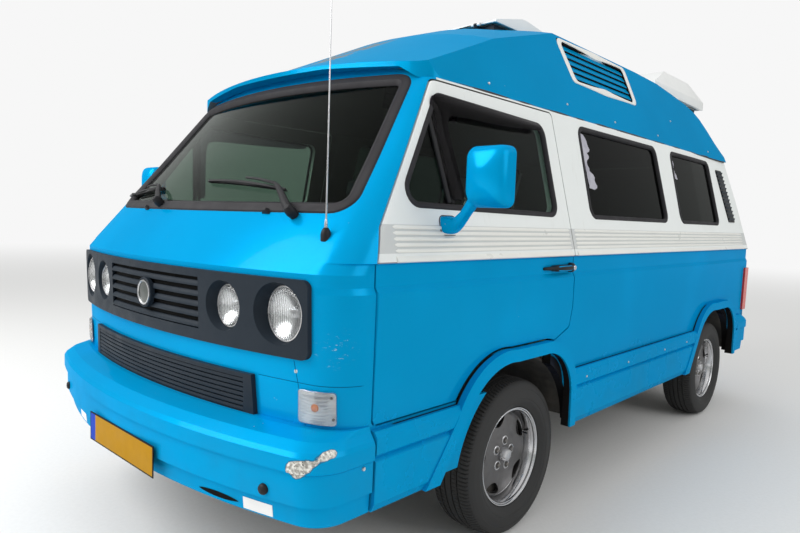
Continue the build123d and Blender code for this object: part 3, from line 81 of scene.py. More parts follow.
# Where rays towards the van start: at the side between the body and the mirrors' heads, at the
# side wide of everything, ahead of the nose and behind the tail
OUTSIDE, FAR_OUT, AHEAD_Y, BEHIND_Y = 0.945, 1.1, -2.6, 2.7


def middle_of(node):
    """The middle of a CAD node's box."""
    low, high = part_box(node)
    return (low + high) / 2


# Making meshes


def plain(name, verts, faces):
    """An object in the scene with a mesh of those faces."""
    mesh = bpy.data.meshes.new(name)
    mesh.from_pydata([tuple(v) for v in verts], [], faces)
    piece = bpy.data.objects.new(name, mesh)
    bpy.context.scene.collection.objects.link(piece)
    return piece


def modify(piece, modifiers):
    """Adds modifiers, each given by its kind and its settings."""
    for kind, settings in modifiers:
        modifier = piece.modifiers.new(kind.title(), kind)
        for key, value in settings.items():
            setattr(modifier, key, value)


def build(name, verts, faces, finish, body, smooth=35.0, replaces=(), modifiers=()):
    """A mesh piece that rides on a body, with its edges sharp above an angle."""
    piece = plain(name, verts, faces)
    piece.data.validate()
    for entry in finish if isinstance(finish, list) else [finish]:
        piece.data.materials.append(finish_named(entry))
    modify(piece, modifiers)
    settle(piece, smooth)
    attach(piece, body)
    if replaces:
        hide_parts(*replaces)
    return piece


def settle(piece, smooth):
    """Applies a piece's modifiers and shades it smooth between its sharp edges."""
    if piece.modifiers:
        graph = bpy.context.evaluated_depsgraph_get()
        solid = bpy.data.meshes.new_from_object(piece.evaluated_get(graph))
        piece.modifiers.clear()
        piece.data = solid
    mesh = piece.data
    mesh.polygons.foreach_set("use_smooth", [smooth > 0] * len(mesh.polygons))
    if smooth > 0:
        mesh.set_sharp_from_angle(angle=math.radians(smooth))


class Shape:
    """Vertices and faces gathered from several forms, with a finish for each form."""

    def __init__(self):
        self.verts = []
        self.faces = []
        self.slots = []

    def add(self, verts, faces, slot=0):
        start = len(self.verts)
        self.verts += [Vector(v) for v in verts]
        self.faces += [tuple(i + start for i in face) for face in faces]
        self.slots += [slot] * len(faces)
        return self

    def place(self, matrix):
        self.verts = [matrix @ v for v in self.verts]
        return self

    def build(self, name, finish, body, **options):
        piece = build(name, self.verts, self.faces, finish, body, **options)
        if len(piece.data.polygons) == len(self.slots):
            piece.data.polygons.foreach_set("material_index", self.slots)
        return piece


def ring_faces(rings, points, closed_rings=True, closed_points=True):
    """Quads between successive rings of points."""
    faces = []
    for i in range(rings if closed_rings else rings - 1):
        a, b = i * points, ((i + 1) % rings) * points
        for j in range(points if closed_points else points - 1):
            k = (j + 1) % points
            faces.append((a + j, a + k, b + k, b + j))
    return faces


def solid_faces(rows, size, flip=False):
    """Quads between rows of a closed section, with a cap at each end."""
    first, last = range(size), range((rows - 1) * size, rows * size)
    caps = (first, reversed(last)) if flip else (reversed(first), last)
    return ring_faces(rows, size, False) + [tuple(cap) for cap in caps]


def capped_faces(rows, size):
    """Quads between successive outlines, with a cap on the last of them."""
    return ring_faces(rows, size, False) + [tuple(range((rows - 1) * size, rows * size))]


def standing(place, normal):
    """The matrix that stands a form's z axis up on a skin."""
    return Matrix.Translation(place) @ normal.to_track_quat("Z", "Y").to_matrix().to_4x4()


def oblong(x0, x1, y0, y1):
    """The corners of an upright rectangle."""
    return (x0, y0), (x1, y0), (x1, y1), (x0, y1)


def mirrored(half):
    """A section that is the same on both sides, from its first half."""
    return half + tuple((-a, n) for a, n in reversed(half))


def lathe(profile, segments, centre, out=1, closed=True):
    """A form turned about the axle: the profile's columns are reach outward and radius."""
    verts = []
    for i in range(segments):
        turn = math.tau * i / segments
        for reach, radius in profile:
            verts.append((centre[0] + out * reach, centre[1] + radius * math.cos(turn),
                          centre[2] + radius * math.sin(turn)))
    return verts, ring_faces(segments, len(profile), True, closed)


def turned(profile, segments, matrix):
    """A form turned about a local z axis: the profile's columns are radius and height."""
    verts = []
    for i in range(segments):
        turn = math.tau * i / segments
        for radius, height in profile:
            verts.append(matrix @ Vector((radius * math.cos(turn), radius * math.sin(turn), height)))
    return verts, ring_faces(segments, len(profile), True, False)


def sweep(path, normals, profile, closed=True):
    """A section carried along a path. Its columns are across and out along the normal."""
    count = len(path)
    verts = []
    for i in range(count):
        before = path[i - 1] if closed or i else path[i]
        after = path[(i + 1) % count] if closed or i < count - 1 else path[i]
        along = (after - before).normalized()
        across = along.cross(normals[i]).normalized()
        for a, n in profile:
            verts.append(path[i] + across * a + normals[i] * n)
    return verts, ring_faces(count, len(profile)) if closed else solid_faces(count, len(profile), True)


def tube(path, radius, sides=10, closed=False):
    """A round bar along a path."""
    normals = []
    for i in range(len(path)):
        after = path[min(i + 1, len(path) - 1)] - path[max(i - 1, 0)]
        hint = Vector((0, 0, 1)) if abs(after.normalized().z) < 0.9 else Vector((0, 1, 0))
        normals.append(after.cross(hint).cross(after).normalized())
    section = [(radius * math.cos(math.tau * k / sides), radius * math.sin(math.tau * k / sides))
               for k in range(sides)]
    return sweep(path, normals, section, closed)


def slab(x0, x1, y0, y1, z0, z1):
    """A box between two corners."""
    verts = [(x, y, z) for x in (x0, x1) for y in (y0, y1) for z in (z0, z1)]
    faces = [(0, 1, 3, 2), (4, 6, 7, 5), (0, 4, 5, 1), (2, 3, 7, 6), (0, 2, 6, 4), (1, 5, 7, 3)]
    return verts, faces


def offset_outline(points, distance):
    """A convex outline grown outward by a distance."""
    count = len(points)
    area = sum(points[i][0] * points[(i + 1) % count][1] - points[(i + 1) % count][0] * points[i][1]
               for i in range(count))
    sense = 1 if area > 0 else -1
    grown = []
    for i in range(count):
        before, here, after = (Vector(points[(i + k) % count]) for k in (-1, 0, 1))
        e1, e2 = (here - before).normalized(), (after - here).normalized()
        n1, n2 = Vector((e1.y, -e1.x)) * sense, Vector((e2.y, -e2.x)) * sense
        grown.append(tuple(here + (n1 + n2) * distance / (1 + n1.dot(n2))))
    return grown


def round_outline(points, radius, step=0.02, turns=7):
    """A closed outline with round corners, and points along its straight runs."""
    count = len(points)
    path = []
    for i in range(count):
        before, here, after = (Vector(points[(i + k) % count]) for k in (-1, 0, 1))
        e1, e2 = (before - here).normalized(), (after - here).normalized()
        half = e1.angle(e2) / 2
        cut = radius / math.tan(half)
        centre = here + (e1 + e2).normalized() * radius / math.sin(half)
        start, end = here + e1 * cut - centre, here + e2 * cut - centre
        for k in range(turns + 1):
            path.append(centre + start.slerp(end, k / turns, start).normalized() * start.length)
    dense = []
    for i, point in enumerate(path):
        after = path[(i + 1) % len(path)]
        parts = max(1, round((after - point).length / step))
        dense += [point.lerp(after, k / parts) for k in range(parts)]
    return dense


def spline(rows, parts):
    """Rows of sizes with further rows between them, on a smooth curve through them all."""
    dense = []
    for i in range(len(rows) - 1):
        before, here, after, last = (rows[min(max(i + k, 0), len(rows) - 1)] for k in (-1, 0, 1, 2))
        for k in range(parts):
            t = k / parts
            dense.append(tuple(0.5 * (2 * b + (c - a) * t + (2 * a - 5 * b + 4 * c - d) * t * t
                                      + (3 * b - a - 3 * c + d) * t ** 3)
                               for a, b, c, d in zip(before, here, after, last)))
    return dense + [tuple(rows[-1])]


class Skin:
    """The skin of some CAD nodes, found by straight rays."""

    def __init__(self, *nodes):
        verts, faces = [], []
        for node in nodes:
            mesh = NODES[node].data
            start = len(verts)
            verts += [v.co.copy() for v in mesh.vertices]
            faces += [tuple(i + start for i in p.vertices) for p in mesh.polygons]
        self.tree = BVHTree.FromPolygons(verts, faces)

    def meet(self, origin, way):
        place, normal, _, _ = self.tree.ray_cast(Vector(origin), Vector(way).normalized())
        if place is None:
            raise RuntimeError(f"no skin is met from {tuple(origin)}")
        if normal.dot(Vector(way)) > 0:
            normal = -normal
        return place, normal

    def beside(self, sign, y, z, start=OUTSIDE):
        """The skin seen from one side at a place along and up."""
        return self.meet((sign * start, y, z), (-sign, 0, 0))

    def ahead(self, x, z):
        """The skin seen from ahead at a place across and up."""
        return self.meet((x, AHEAD_Y, z), (0, 1, 0))

    def behind(self, x, z):
        """The skin seen from behind at a place across and up."""
        return self.meet((x, BEHIND_Y, z), (0, -1, 0))


def follow(skin, starts, way):
    """Where rays from several starts meet a skin: the places and the outward normals."""
    places, normals = zip(*(skin.meet(start, way) for start in starts))
    count = len(normals)
    eased = [(normals[i - 1] + normals[i] + normals[(i + 1) % count]).normalized() for i in range(count)]
    return places, eased


# Making finishes

UNDERSEAL_TINT, LINING_TINT = (0.014, 0.013, 0.013), (0.19, 0.18, 0.165)


class Finish:
    """A material being mixed: its nodes, its links and its surface shader."""

    def __init__(self, name, colour, roughness=0.5, metallic=0.0, **sockets):
        self.material = bpy.data.materials.new(name)
        self.material.use_nodes = True
        self.tree = self.material.node_tree
        self.shader = self.tree.nodes["Principled BSDF"]
        self.material.diffuse_color = (*colour, 1.0)
        for key, value in (("Base Color", colour), ("Roughness", roughness), ("Metallic", metallic)):
            self.set(key, value)
        for key, value in sockets.items():
            self.feed(self.shader.inputs[key.replace("_", " ").title().replace("Ior", "IOR")], value)
        self.place = self.tree.nodes.new("ShaderNodeTexCoord").outputs["Object"]
        self.axes = None

    def feed(self, socket, value):
        if isinstance(value, bpy.types.NodeSocket):
            self.tree.links.new(value, socket)
        elif value is not None:
            if isinstance(value, tuple) and len(value) == 3 and len(socket.default_value) == 4:
                value = (*value, 1.0)
            socket.default_value = value

    def node(self, kind, inputs=(), **settings):
        node = self.tree.nodes.new(kind)
        for key, value in settings.items():
            setattr(node, key, value)
        for key, value in dict(inputs).items():
            self.feed(node.inputs[key], value)
        return node

    def axis(self, index):
        """One object coordinate: 0 across, 1 along, 2 up."""
        if self.axes is None:
            self.axes = self.node("ShaderNodeSeparateXYZ", {0: self.place})
        return self.axes.outputs[index]

    def vector(self, operation, a, b=None, out=0):
        """A sum with vectors: output 0 is a vector and output 1 a number."""
        return self.node("ShaderNodeVectorMath", {0: a, 1: b}, operation=operation).outputs[out]

    def stretched(self, x, y, z):
        return self.vector("MULTIPLY", self.place, (x, y, z))

    def noise(self, scale, detail=3.0, roughness=0.55, place=None):
        inputs = {"Vector": place or self.place, "Scale": scale, "Detail": detail, "Roughness": roughness}
        return self.node("ShaderNodeTexNoise", inputs).outputs["Fac"]

    def bands(self, scale, direction="X", distortion=0.0):
        inputs = {"Vector": self.place, "Scale": scale, "Distortion": distortion}
        return self.node("ShaderNodeTexWave", inputs, bands_direction=direction).outputs["Fac"]

    def sum(self, operation, a, b=0.0, c=0.0):
        return self.node("ShaderNodeMath", {0: a, 1: b, 2: c}, operation=operation).outputs[0]

    def times(self, a, b):
        return self.sum("MULTIPLY", a, b)

    def plus(self, a, b):
        return self.sum("ADD", a, b)

    def minus(self, a, b):
        return self.sum("SUBTRACT", a, b)

    def larger(self, a, b):
        return self.sum("MAXIMUM", a, b)

    def size(self, a):
        return self.sum("ABSOLUTE", a)

    def span(self, value, low, high, to_low=0.0, to_high=1.0):
        """The value stretched from low and high to two new ends, and held between them."""
        inputs = {"Value": value, "From Min": low, "From Max": high, "To Min": to_low, "To Max": to_high}
        return self.node("ShaderNodeMapRange", inputs, interpolation_type="SMOOTHSTEP").outputs[0]

    def mix(self, factor, a, b, blend="MIX"):
        node = self.node("ShaderNodeMix", data_type="RGBA", blend_type=blend)
        self.feed(node.inputs[0], factor)
        self.feed(node.inputs[6], a)
        self.feed(node.inputs[7], b)
        return node.outputs[2]

    def blend(self, factor, a, b):
        node = self.node("ShaderNodeMix", data_type="FLOAT")
        self.feed(node.inputs[0], factor)
        self.feed(node.inputs[2], a)
        self.feed(node.inputs[3], b)
        return node.outputs[0]

    def bump(self, height, strength=0.2, distance=0.001):
        old = self.shader.inputs["Normal"].links
        inputs = {"Height": height, "Strength": strength, "Distance": distance}
        if old:
            inputs["Normal"] = old[0].from_socket
        self.set("Normal", self.node("ShaderNodeBump", inputs).outputs[0])

    def set(self, socket, value):
        self.feed(self.shader.inputs[socket], value)

    def lining(self, tint, front=-9.0, depth=0.0, bare=0.0):
        """The tint, but the lining on faces that look to the middle, and underseal inside the arches."""
        x, y, z = self.axis(0), self.axis(1), self.axis(2)
        rise = self.larger(self.times(self.minus(z, 1.3), 0.6), 0.0)
        rise = self.times(rise, self.span(y, front, front + 0.05))
        outward = self.node("ShaderNodeCombineXYZ", {0: x, 1: self.times(y, 0.12), 2: rise}).outputs[0]
        normal = self.node("ShaderNodeTexCoord").outputs["Normal"]
        cover = self.mix(self.span(z, SKIRT_Z, SKIRT_Z + 0.08), UNDERSEAL_TINT, LINING_TINT)
        hidden = self.span(self.vector("DOT_PRODUCT", outward, normal, 1), -0.20, -0.28)
        if depth:
            arch = self.times(self.span(z, SKIRT_Z, SKIRT_Z - 0.01), self.span(y, -1.84, -1.82))
            reach = self.size(x)
            parts = self.node("ShaderNodeSeparateXYZ", {0: normal}).outputs
            axle = self.sum("MULTIPLY_ADD", self.sum("GREATER_THAN", y, 0.2), WHEELBASE, FRONT_AXLE_Y)
            behind, under = self.minus(y, axle), self.minus(z, AXLE_Z)
            inward = self.sum("MULTIPLY_ADD", behind, parts[1], self.times(under, parts[2]))
            edge = self.times(self.span(self.size(parts[0]), 0.6, 0.5), self.span(inward, -0.02, -0.06))
            rim = self.plus(self.sum("POWER", self.sum("DIVIDE", behind, ARCH_HALF), 4.0),
                            self.sum("POWER", self.sum("DIVIDE", under, ARCH_RISE), 4.0))
            rim = self.times(self.span(rim, 0.98, 0.92), self.span(behind, 0.0, 0.01))
            edge = self.larger(edge, self.times(rim, self.span(under, -0.10, -0.05)))
            lip = self.times(edge, self.span(reach, depth + 0.017, depth + 0.014))
            deep = self.larger(self.span(reach, depth, depth - 0.003), lip)
            hidden = self.larger(hidden, self.times(arch, deep))
        return self.mix(self.times(hidden, self.minus(1.0, bare)), tint, cover)

    def gloss(self, scale, detail, low, high, smooth, rough):
        """Uneven gloss: the roughness follows a noise between two values."""
        self.set("Roughness", self.span(self.noise(scale, detail), low, high, smooth, rough))

    def near(self, point, reach):
        """1 at a point, falling to 0 at a reach from it."""
        return self.span(self.vector("DISTANCE", self.place, point, 1), reach, 0.0)


def grained(name, colour, roughness, grain, strength, vary, metallic, dust, **sockets):
    """A plain moulded or cast finish: fine grain, faint cloudiness and uneven gloss."""
    f = Finish(name, colour, roughness, metallic, **sockets)
    cloud = f.noise(6.0, 4.0)
    pale = tuple(min(1.0, c * (1 + vary) + vary * 0.02) for c in colour)
    dark = tuple(c * (1 - vary) for c in colour)
    tint = f.mix(cloud, dark, pale)
    if dust:
        low = f.times(f.span(f.axis(2), 1.0, 0.2), f.span(f.noise(9.0, 5.0), 0.35, 0.75))
        tint = f.mix(f.times(low, dust), tint, (0.17, 0.155, 0.13))
    f.set("Base Color", tint)
    f.gloss(14.0, 4.0, 0.2, 0.8, max(0.02, roughness - 0.08), min(1.0, roughness + 0.1))
    f.bump(f.noise(grain, 2.0), strength, 0.0006)
    return f


def worn_paint(f, colour, shade=0.9):
    """Colour of painted panels: slow fading, road film low down and small chips."""
    deep = tuple(c * shade for c in colour)
    tint = f.mix(f.span(f.noise(1.3, 3.0), 0.35, 0.65), deep, colour)
    film = f.times(f.span(f.axis(2), 0.85, 0.38), f.span(f.noise(5.0, 6.0), 0.3, 0.8))
    tint = f.mix(f.times(film, 0.26), tint, (0.035, 0.17, 0.26))
    streak = f.span(f.noise(7.0, 5.0, 0.6, f.stretched(3.0, 3.0, 0.35)), 0.62, 0.8, 0.0, 0.10)
    tint = f.mix(streak, tint, (0.04, 0.26, 0.42))
    chip = f.times(f.span(f.noise(85.0, 2.0), 0.765, 0.79), f.span(f.noise(2.6, 2.0), 0.55, 0.66))
    return f.mix(f.times(chip, 0.8), tint, (0.42, 0.47, 0.46)), film


def paint_coat(f, film):
    """Gloss under the road film, with orange peel and slightly wavy sheet."""
    f.set("Roughness", f.blend(film, 0.22, 0.5))
    f.bump(f.noise(420.0, 1.0), 0.04, 0.0005)
    f.bump(f.noise(1.7, 2.0), 0.12, 0.006)


BLUE = (0.0, 0.305, 0.615)
ROOF_BLUE = (0.0, 0.270, 0.530)
CREAM = (0.76, 0.785, 0.775)
# Gloss of the blue paint: a share of its light is a blue reflection, under a thin clear coat
TINTED = 0.26
GLOSS = {"coat_weight": 0.06, "coat_roughness": 0.05, "specular_ior_level": 0.0, "specular_tint": (0.0, 0.55, 1.0)}


def paint_blue():
    """Gloss paint of the body, with scratches on the nose corners."""
    f = Finish("paint_blue", BLUE, 0.28, TINTED, **GLOSS)
    tint, film = worn_paint(f, BLUE)
    scuff = f.span(f.noise(60.0, 4.0, 0.7, f.stretched(1.0, 1.0, 3.0)), 0.60, 0.68)
    for place, reach in (((0.867, -2.044, 0.895), 0.07), ((0.892, -2.016, 0.913), 0.06),
                         ((0.785, -2.085, 0.690), 0.04)):
        tint = f.mix(f.times(f.times(f.near(place, reach), scuff), 0.7), tint, (0.45, 0.62, 0.68))
    for place, reach in (((0.788, -2.083, 0.690), 0.016), ((0.753, -2.086, 0.822), 0.012)):
        chip = f.plus(f.near(place, reach), f.times(f.minus(f.noise(120.0, 4.0), 0.5), 1.4))
        tint = f.mix(f.span(chip, 0.42, 0.50), tint, (0.52, 0.60, 0.58))
    x, z = f.axis(0), f.axis(2)
    seam = f.plus(0.930, f.times(z, -0.216))
    upright = f.size(f.minus(f.size(x), seam))
    groove = f.times(f.span(upright, 0.0020, 0.0008), f.span(z, 0.858, 0.852))
    level = f.size(f.minus(z, 0.7885))
    level = f.times(f.span(level, 0.0018, 0.0007), f.span(f.size(x), 0.600, 0.602))
    groove = f.times(f.larger(groove, level), f.span(f.axis(1), -1.95, -1.97))
    tint = f.mix(f.times(groove, 0.8), tint, (0.0, 0.035, 0.08))
    f.set("Base Color", f.lining(tint, depth=0.926))
    f.bump(groove, 0.6, -0.001)
    paint_coat(f, film)
    return f


def paint_two_tone():
    """Blue below the belt, cream cladding above it, and a dark line just over the belt that is painted shadow under the
    cladding's edge.
    """
    f = Finish("paint_two_tone", BLUE, 0.28, TINTED, **GLOSS)
    tint, film = worn_paint(f, BLUE)
    soil = f.span(f.noise(3.0, 6.0), 0.45, 0.85, 0.0, 0.35)
    runs = f.span(f.noise(12.0, 5.0, 0.6, f.stretched(2.0, 2.0, 0.2)), 0.6, 0.8, 0.0, 0.3)
    cream = f.mix(soil, CREAM, (0.66, 0.67, 0.64))
    cream = f.mix(runs, cream, (0.55, 0.55, 0.50))
    # The band behind the cladding's ribs is greyed: painted shade between the ribs.
    rib_band_shade = f.times(f.span(f.axis(2), 1.183, 1.185), f.span(f.axis(2), 1.275, 1.273))
    cream = f.mix(f.times(rib_band_shade, 0.55), cream, (0.40, 0.41, 0.41))
    above = f.span(f.axis(2), BELT_Z - 0.0012, BELT_Z + 0.0002)
    side = f.size(f.axis(0))
    over = f.span(f.plus(side, f.times(f.axis(2), 0.243)), 1.2042, 1.2056)
    foot = f.times(f.span(f.size(f.plus(f.axis(1), 1.552)), 0.060, 0.058),
                   f.span(f.size(f.minus(f.axis(2), 1.275)), 0.044, 0.042))
    mirror = f.larger(f.span(side, 0.9345, 0.9365), f.times(over, foot))
    above = f.times(above, f.minus(1.0, mirror))
    f.set("Metallic", f.times(f.minus(1.0, above), TINTED))
    # A dark band just over the belt: painted shadow under the cladding's edge moulding.
    line = f.times(above, f.span(f.axis(2), BELT_Z + 0.0035, BELT_Z + 0.0022))
    tint = f.mix(f.times(line, 0.75), f.mix(above, tint, cream), (0.03, 0.03, 0.03))
    f.set("Base Color", f.lining(tint, depth=0.902, bare=mirror))
    paint_coat(f, film)
    return f


def paint_roof():
    """Blue gel coat of the high roof, with bare weathered glass fibre over the brow."""
    f = Finish("paint_roof", ROOF_BLUE, 0.34, TINTED, **GLOSS)
    tint, film = worn_paint(f, ROOF_BLUE, 0.93)
    slope = f.times(f.span(f.axis(1), -1.52, -1.40), f.span(f.axis(1), -0.95, -1.15))
    strip = f.times(slope, f.span(f.size(f.plus(f.axis(0), 0.02)), 0.20, 0.10))
    peel = f.span(f.noise(11.0, 6.0, 0.7, f.stretched(1.0, 0.5, 1.0)), 0.47, 0.53)
    bare = f.mix(f.noise(90.0, 4.0), (0.10, 0.10, 0.09), (0.33, 0.32, 0.28))
    tint = f.mix(f.times(strip, peel), tint, bare)
    f.set("Base Color", f.lining(tint, -1.56))
    paint_coat(f, film)
    f.bump(f.noise(16.0, 3.0), 0.10, 0.002)
    return f


def paint_bumper():
    """Painted glass fibre with a scraped corner that shows grey filler."""
    f = Finish("paint_bumper", BLUE, 0.32, TINTED, **GLOSS)
    tint, film = worn_paint(f, BLUE, 0.94)
    blob, tip = Vector((0.862, -2.172, 0.570)), Vector((0.934, -2.096, 0.620))
    length = (tip - blob).length
    place = f.vector("SUBTRACT", f.place, tuple(blob))
    run = tuple((tip - blob) / length)
    along = f.vector("DOT_PRODUCT", place, run, 1)
    aside = f.vector("LENGTH", f.vector("CROSS_PRODUCT", place, run), out=1)
    beyond = f.larger(f.times(along, -1.0), f.larger(f.minus(along, length), 0.0))
    across = f.sum("POWER", f.sum("DIVIDE", aside, f.span(along, 0.0, length, 0.027, 0.013)), 2.0)
    reach = f.sum("SQRT", f.plus(across, f.sum("POWER", f.sum("DIVIDE", beyond, 0.024), 2.0)))
    ragged = f.plus(reach, f.times(f.minus(f.noise(60.0, 5.0, 0.7), 0.58), 0.45))
    scrape = f.span(ragged, 1.0, 0.93)
    filler = f.mix(f.span(f.noise(80.0, 5.0, 0.7), 0.38, 0.62), (0.30, 0.29, 0.26), (0.80, 0.79, 0.74))
    filler = f.mix(f.span(f.noise(140.0, 3.0), 0.62, 0.68), filler, (0.05, 0.05, 0.045))
    rim = f.times(f.span(ragged, 1.10, 1.0), f.span(ragged, 0.90, 1.0))
    tint = f.mix(scrape, tint, filler)
    f.set("Base Color", f.lining(f.mix(f.times(rim, 0.6), tint, (0.02, 0.05, 0.07))))
    f.set("Metallic", f.blend(scrape, TINTED, 0.0))
    f.set("Roughness", f.blend(scrape, f.blend(film, 0.28, 0.5), 0.85))
    f.bump(f.times(scrape, f.noise(120.0, 5.0)), 0.6, -0.003)
    f.bump(f.noise(3.1, 2.0), 0.18, 0.006)
    return f


def tinted_glass(name, colour, roughness=0.02):
    """Window glass: faint dust, and slightly uneven as sheet glass is."""
    f = Finish(name, colour, roughness, transmission_weight=1.0, ior=1.13, specular_ior_level=0.3)
    f.gloss(5.0, 5.0, 0.4, 0.85, roughness, roughness + 0.06)
    f.bump(f.noise(2.2, 1.0), 0.05, 0.004)
    return f


def lens(name, colour, pitch, direction="X"):
    """A moulded lamp lens with fine flutes."""
    f = Finish(name, colour, 0.04, transmission_weight=0.97, ior=1.42)
    f.bump(f.bands(pitch, direction), 0.30, 0.002)
    f.gloss(22.0, 4.0, 0.4, 0.8, 0.04, 0.16)
    return f


def indicator_back():
    """Bright inside of a corner lamp, with light and dark bands painted on it as the highlights and shade of the lens's
    ribs.
    """
    f = Finish("indicator_back", (0.62, 0.65, 0.67), 0.25, 0.25)
    # Light and dark stripes: painted highlights and shade of the lens's ribs.
    ribs = f.times(f.bands(150.0, "Z"), f.span(f.noise(9.0, 2.0), 0.46, 0.54))
    f.set("Base Color", f.mix(ribs, (0.74, 0.76, 0.78), (0.26, 0.27, 0.30)))
    f.bump(f.bands(150.0, "Z"), 0.5, 0.001)
    return f


def tail_lens():
    """Tail lamp glass in bands: amber above, red and clear below."""
    f = Finish("tail_lens", (0.5, 0.01, 0.01), 0.10, transmission_weight=0.15, ior=1.47, coat_weight=0.3)
    z = f.axis(2)
    tint = f.mix(f.span(z, 0.929, 0.931), (0.36, 0.006, 0.006), (0.72, 0.18, 0.012))
    tint = f.mix(f.times(f.span(z, 0.769, 0.771), f.span(z, 0.831, 0.829)), tint, (0.75, 0.75, 0.75))
    f.set("Base Color", tint)
    f.bump(f.bands(28.0, "Z"), 0.5, 0.002)
    return f


def number_plate():
    """Blank plate: yellow reflective sheet, a blue end and a black edge."""
    f = Finish("number_plate", (0.40, 0.20, 0.006), 0.45, specular_ior_level=0.03)
    x, z = f.axis(0), f.axis(2)
    front = f.span(f.axis(1), 0.1, -0.1)
    tint = f.mix(f.noise(30.0, 5.0), (0.36, 0.180, 0.005), (0.43, 0.222, 0.007))
    blue = f.blend(front, f.span(x, 0.2129, 0.2135), f.span(x, -0.2129, -0.2135))
    tint = f.mix(blue, tint, (0.01, 0.05, 0.42))
    edge = f.span(f.size(x), 0.2545, 0.2555)
    middle = f.blend(front, 0.770, 0.449)
    edge = f.larger(edge, f.span(f.size(f.minus(z, middle)), 0.0495, 0.0505))
    f.set("Base Color", f.mix(edge, tint, (0.012, 0.012, 0.012)))
    f.gloss(12.0, 5.0, 0.3, 0.8, 0.28, 0.5)
    f.bump(f.noise(600.0, 2.0), 0.15, 0.0004)
    return f


def alloy(name, colour, roughness, turned_marks):
    """Cast and machined wheel alloy, with patches of brake dust."""
    f = Finish(name, colour, roughness, 1.0)
    dust = f.span(f.noise(38.0, 5.0), 0.42, 0.8, 0.0, 0.10 if turned_marks else 0.30)
    f.set("Base Color", f.mix(dust, colour, tuple(c * 0.45 for c in colour)))
    f.gloss(24.0, 4.0, 0.3, 0.8, roughness, roughness + (0.05 if turned_marks else 0.14))
    f.bump(f.noise(700.0 if turned_marks else 1500.0, 2.0), 0.12, 0.0004)
    return f


def tyre_rubber():
    """Tyre rubber: greyed, with road dust in patches."""
    f = Finish("tyre_rubber", (0.010, 0.010, 0.011), 0.72, specular_ior_level=0.12)
    dust = f.span(f.noise(11.0, 6.0), 0.4, 0.8, 0.0, 0.30)
    tint = f.mix(dust, (0.007, 0.007, 0.008), (0.036, 0.034, 0.032))
    f.set("Base Color", tint)
    f.gloss(17.0, 4.0, 0.3, 0.8, 0.62, 0.88)
    f.bump(f.noise(520.0, 3.0), 0.25, 0.0008)
    return f


def cloth(name, colour, accent, weave=900.0):
    """Woven seat cloth: two crossed thread waves, a worn nap and a soft sheen."""
    f = Finish(name, colour, 0.9, sheen_weight=0.35, sheen_roughness=0.5)
    warp = f.bands(weave, "X", 0.4)
    weft = f.bands(weave, "Z", 0.4)
    along = f.bands(weave, "Y", 0.4)
    thread = f.plus(f.times(warp, weft), f.times(along, 0.5))
    tint = f.mix(f.span(f.noise(9.0, 5.0), 0.3, 0.75), colour, accent)
    f.set("Base Color", f.mix(f.times(thread, 0.3), tint, tuple(c * 0.6 for c in colour)))
    f.bump(thread, 0.5, 0.0012)
    return f


def cabinet_board():
    """Laminated board with a wood grain."""
    f = Finish("cabinet_board", (0.42, 0.26, 0.13), 0.45, coat_weight=0.2)
    grain = f.noise(5.0, 6.0, 0.65, f.stretched(9.0, 9.0, 0.7))
    f.set("Base Color", f.mix(f.span(grain, 0.3, 0.7), (0.30, 0.17, 0.08), (0.52, 0.34, 0.18)))
    f.bump(grain, 0.15, 0.0006)
    return f


def peeled_film():
    """Silvery window film that has come away from the glass."""
    f = Finish("peeled_film", (0.46, 0.45, 0.52), 0.32, 0.55)
    f.set("Base Color", f.mix(f.noise(18.0, 5.0), (0.28, 0.27, 0.34), (0.72, 0.71, 0.78)))
    f.bump(f.noise(40.0, 4.0), 0.5, 0.004)
    return f


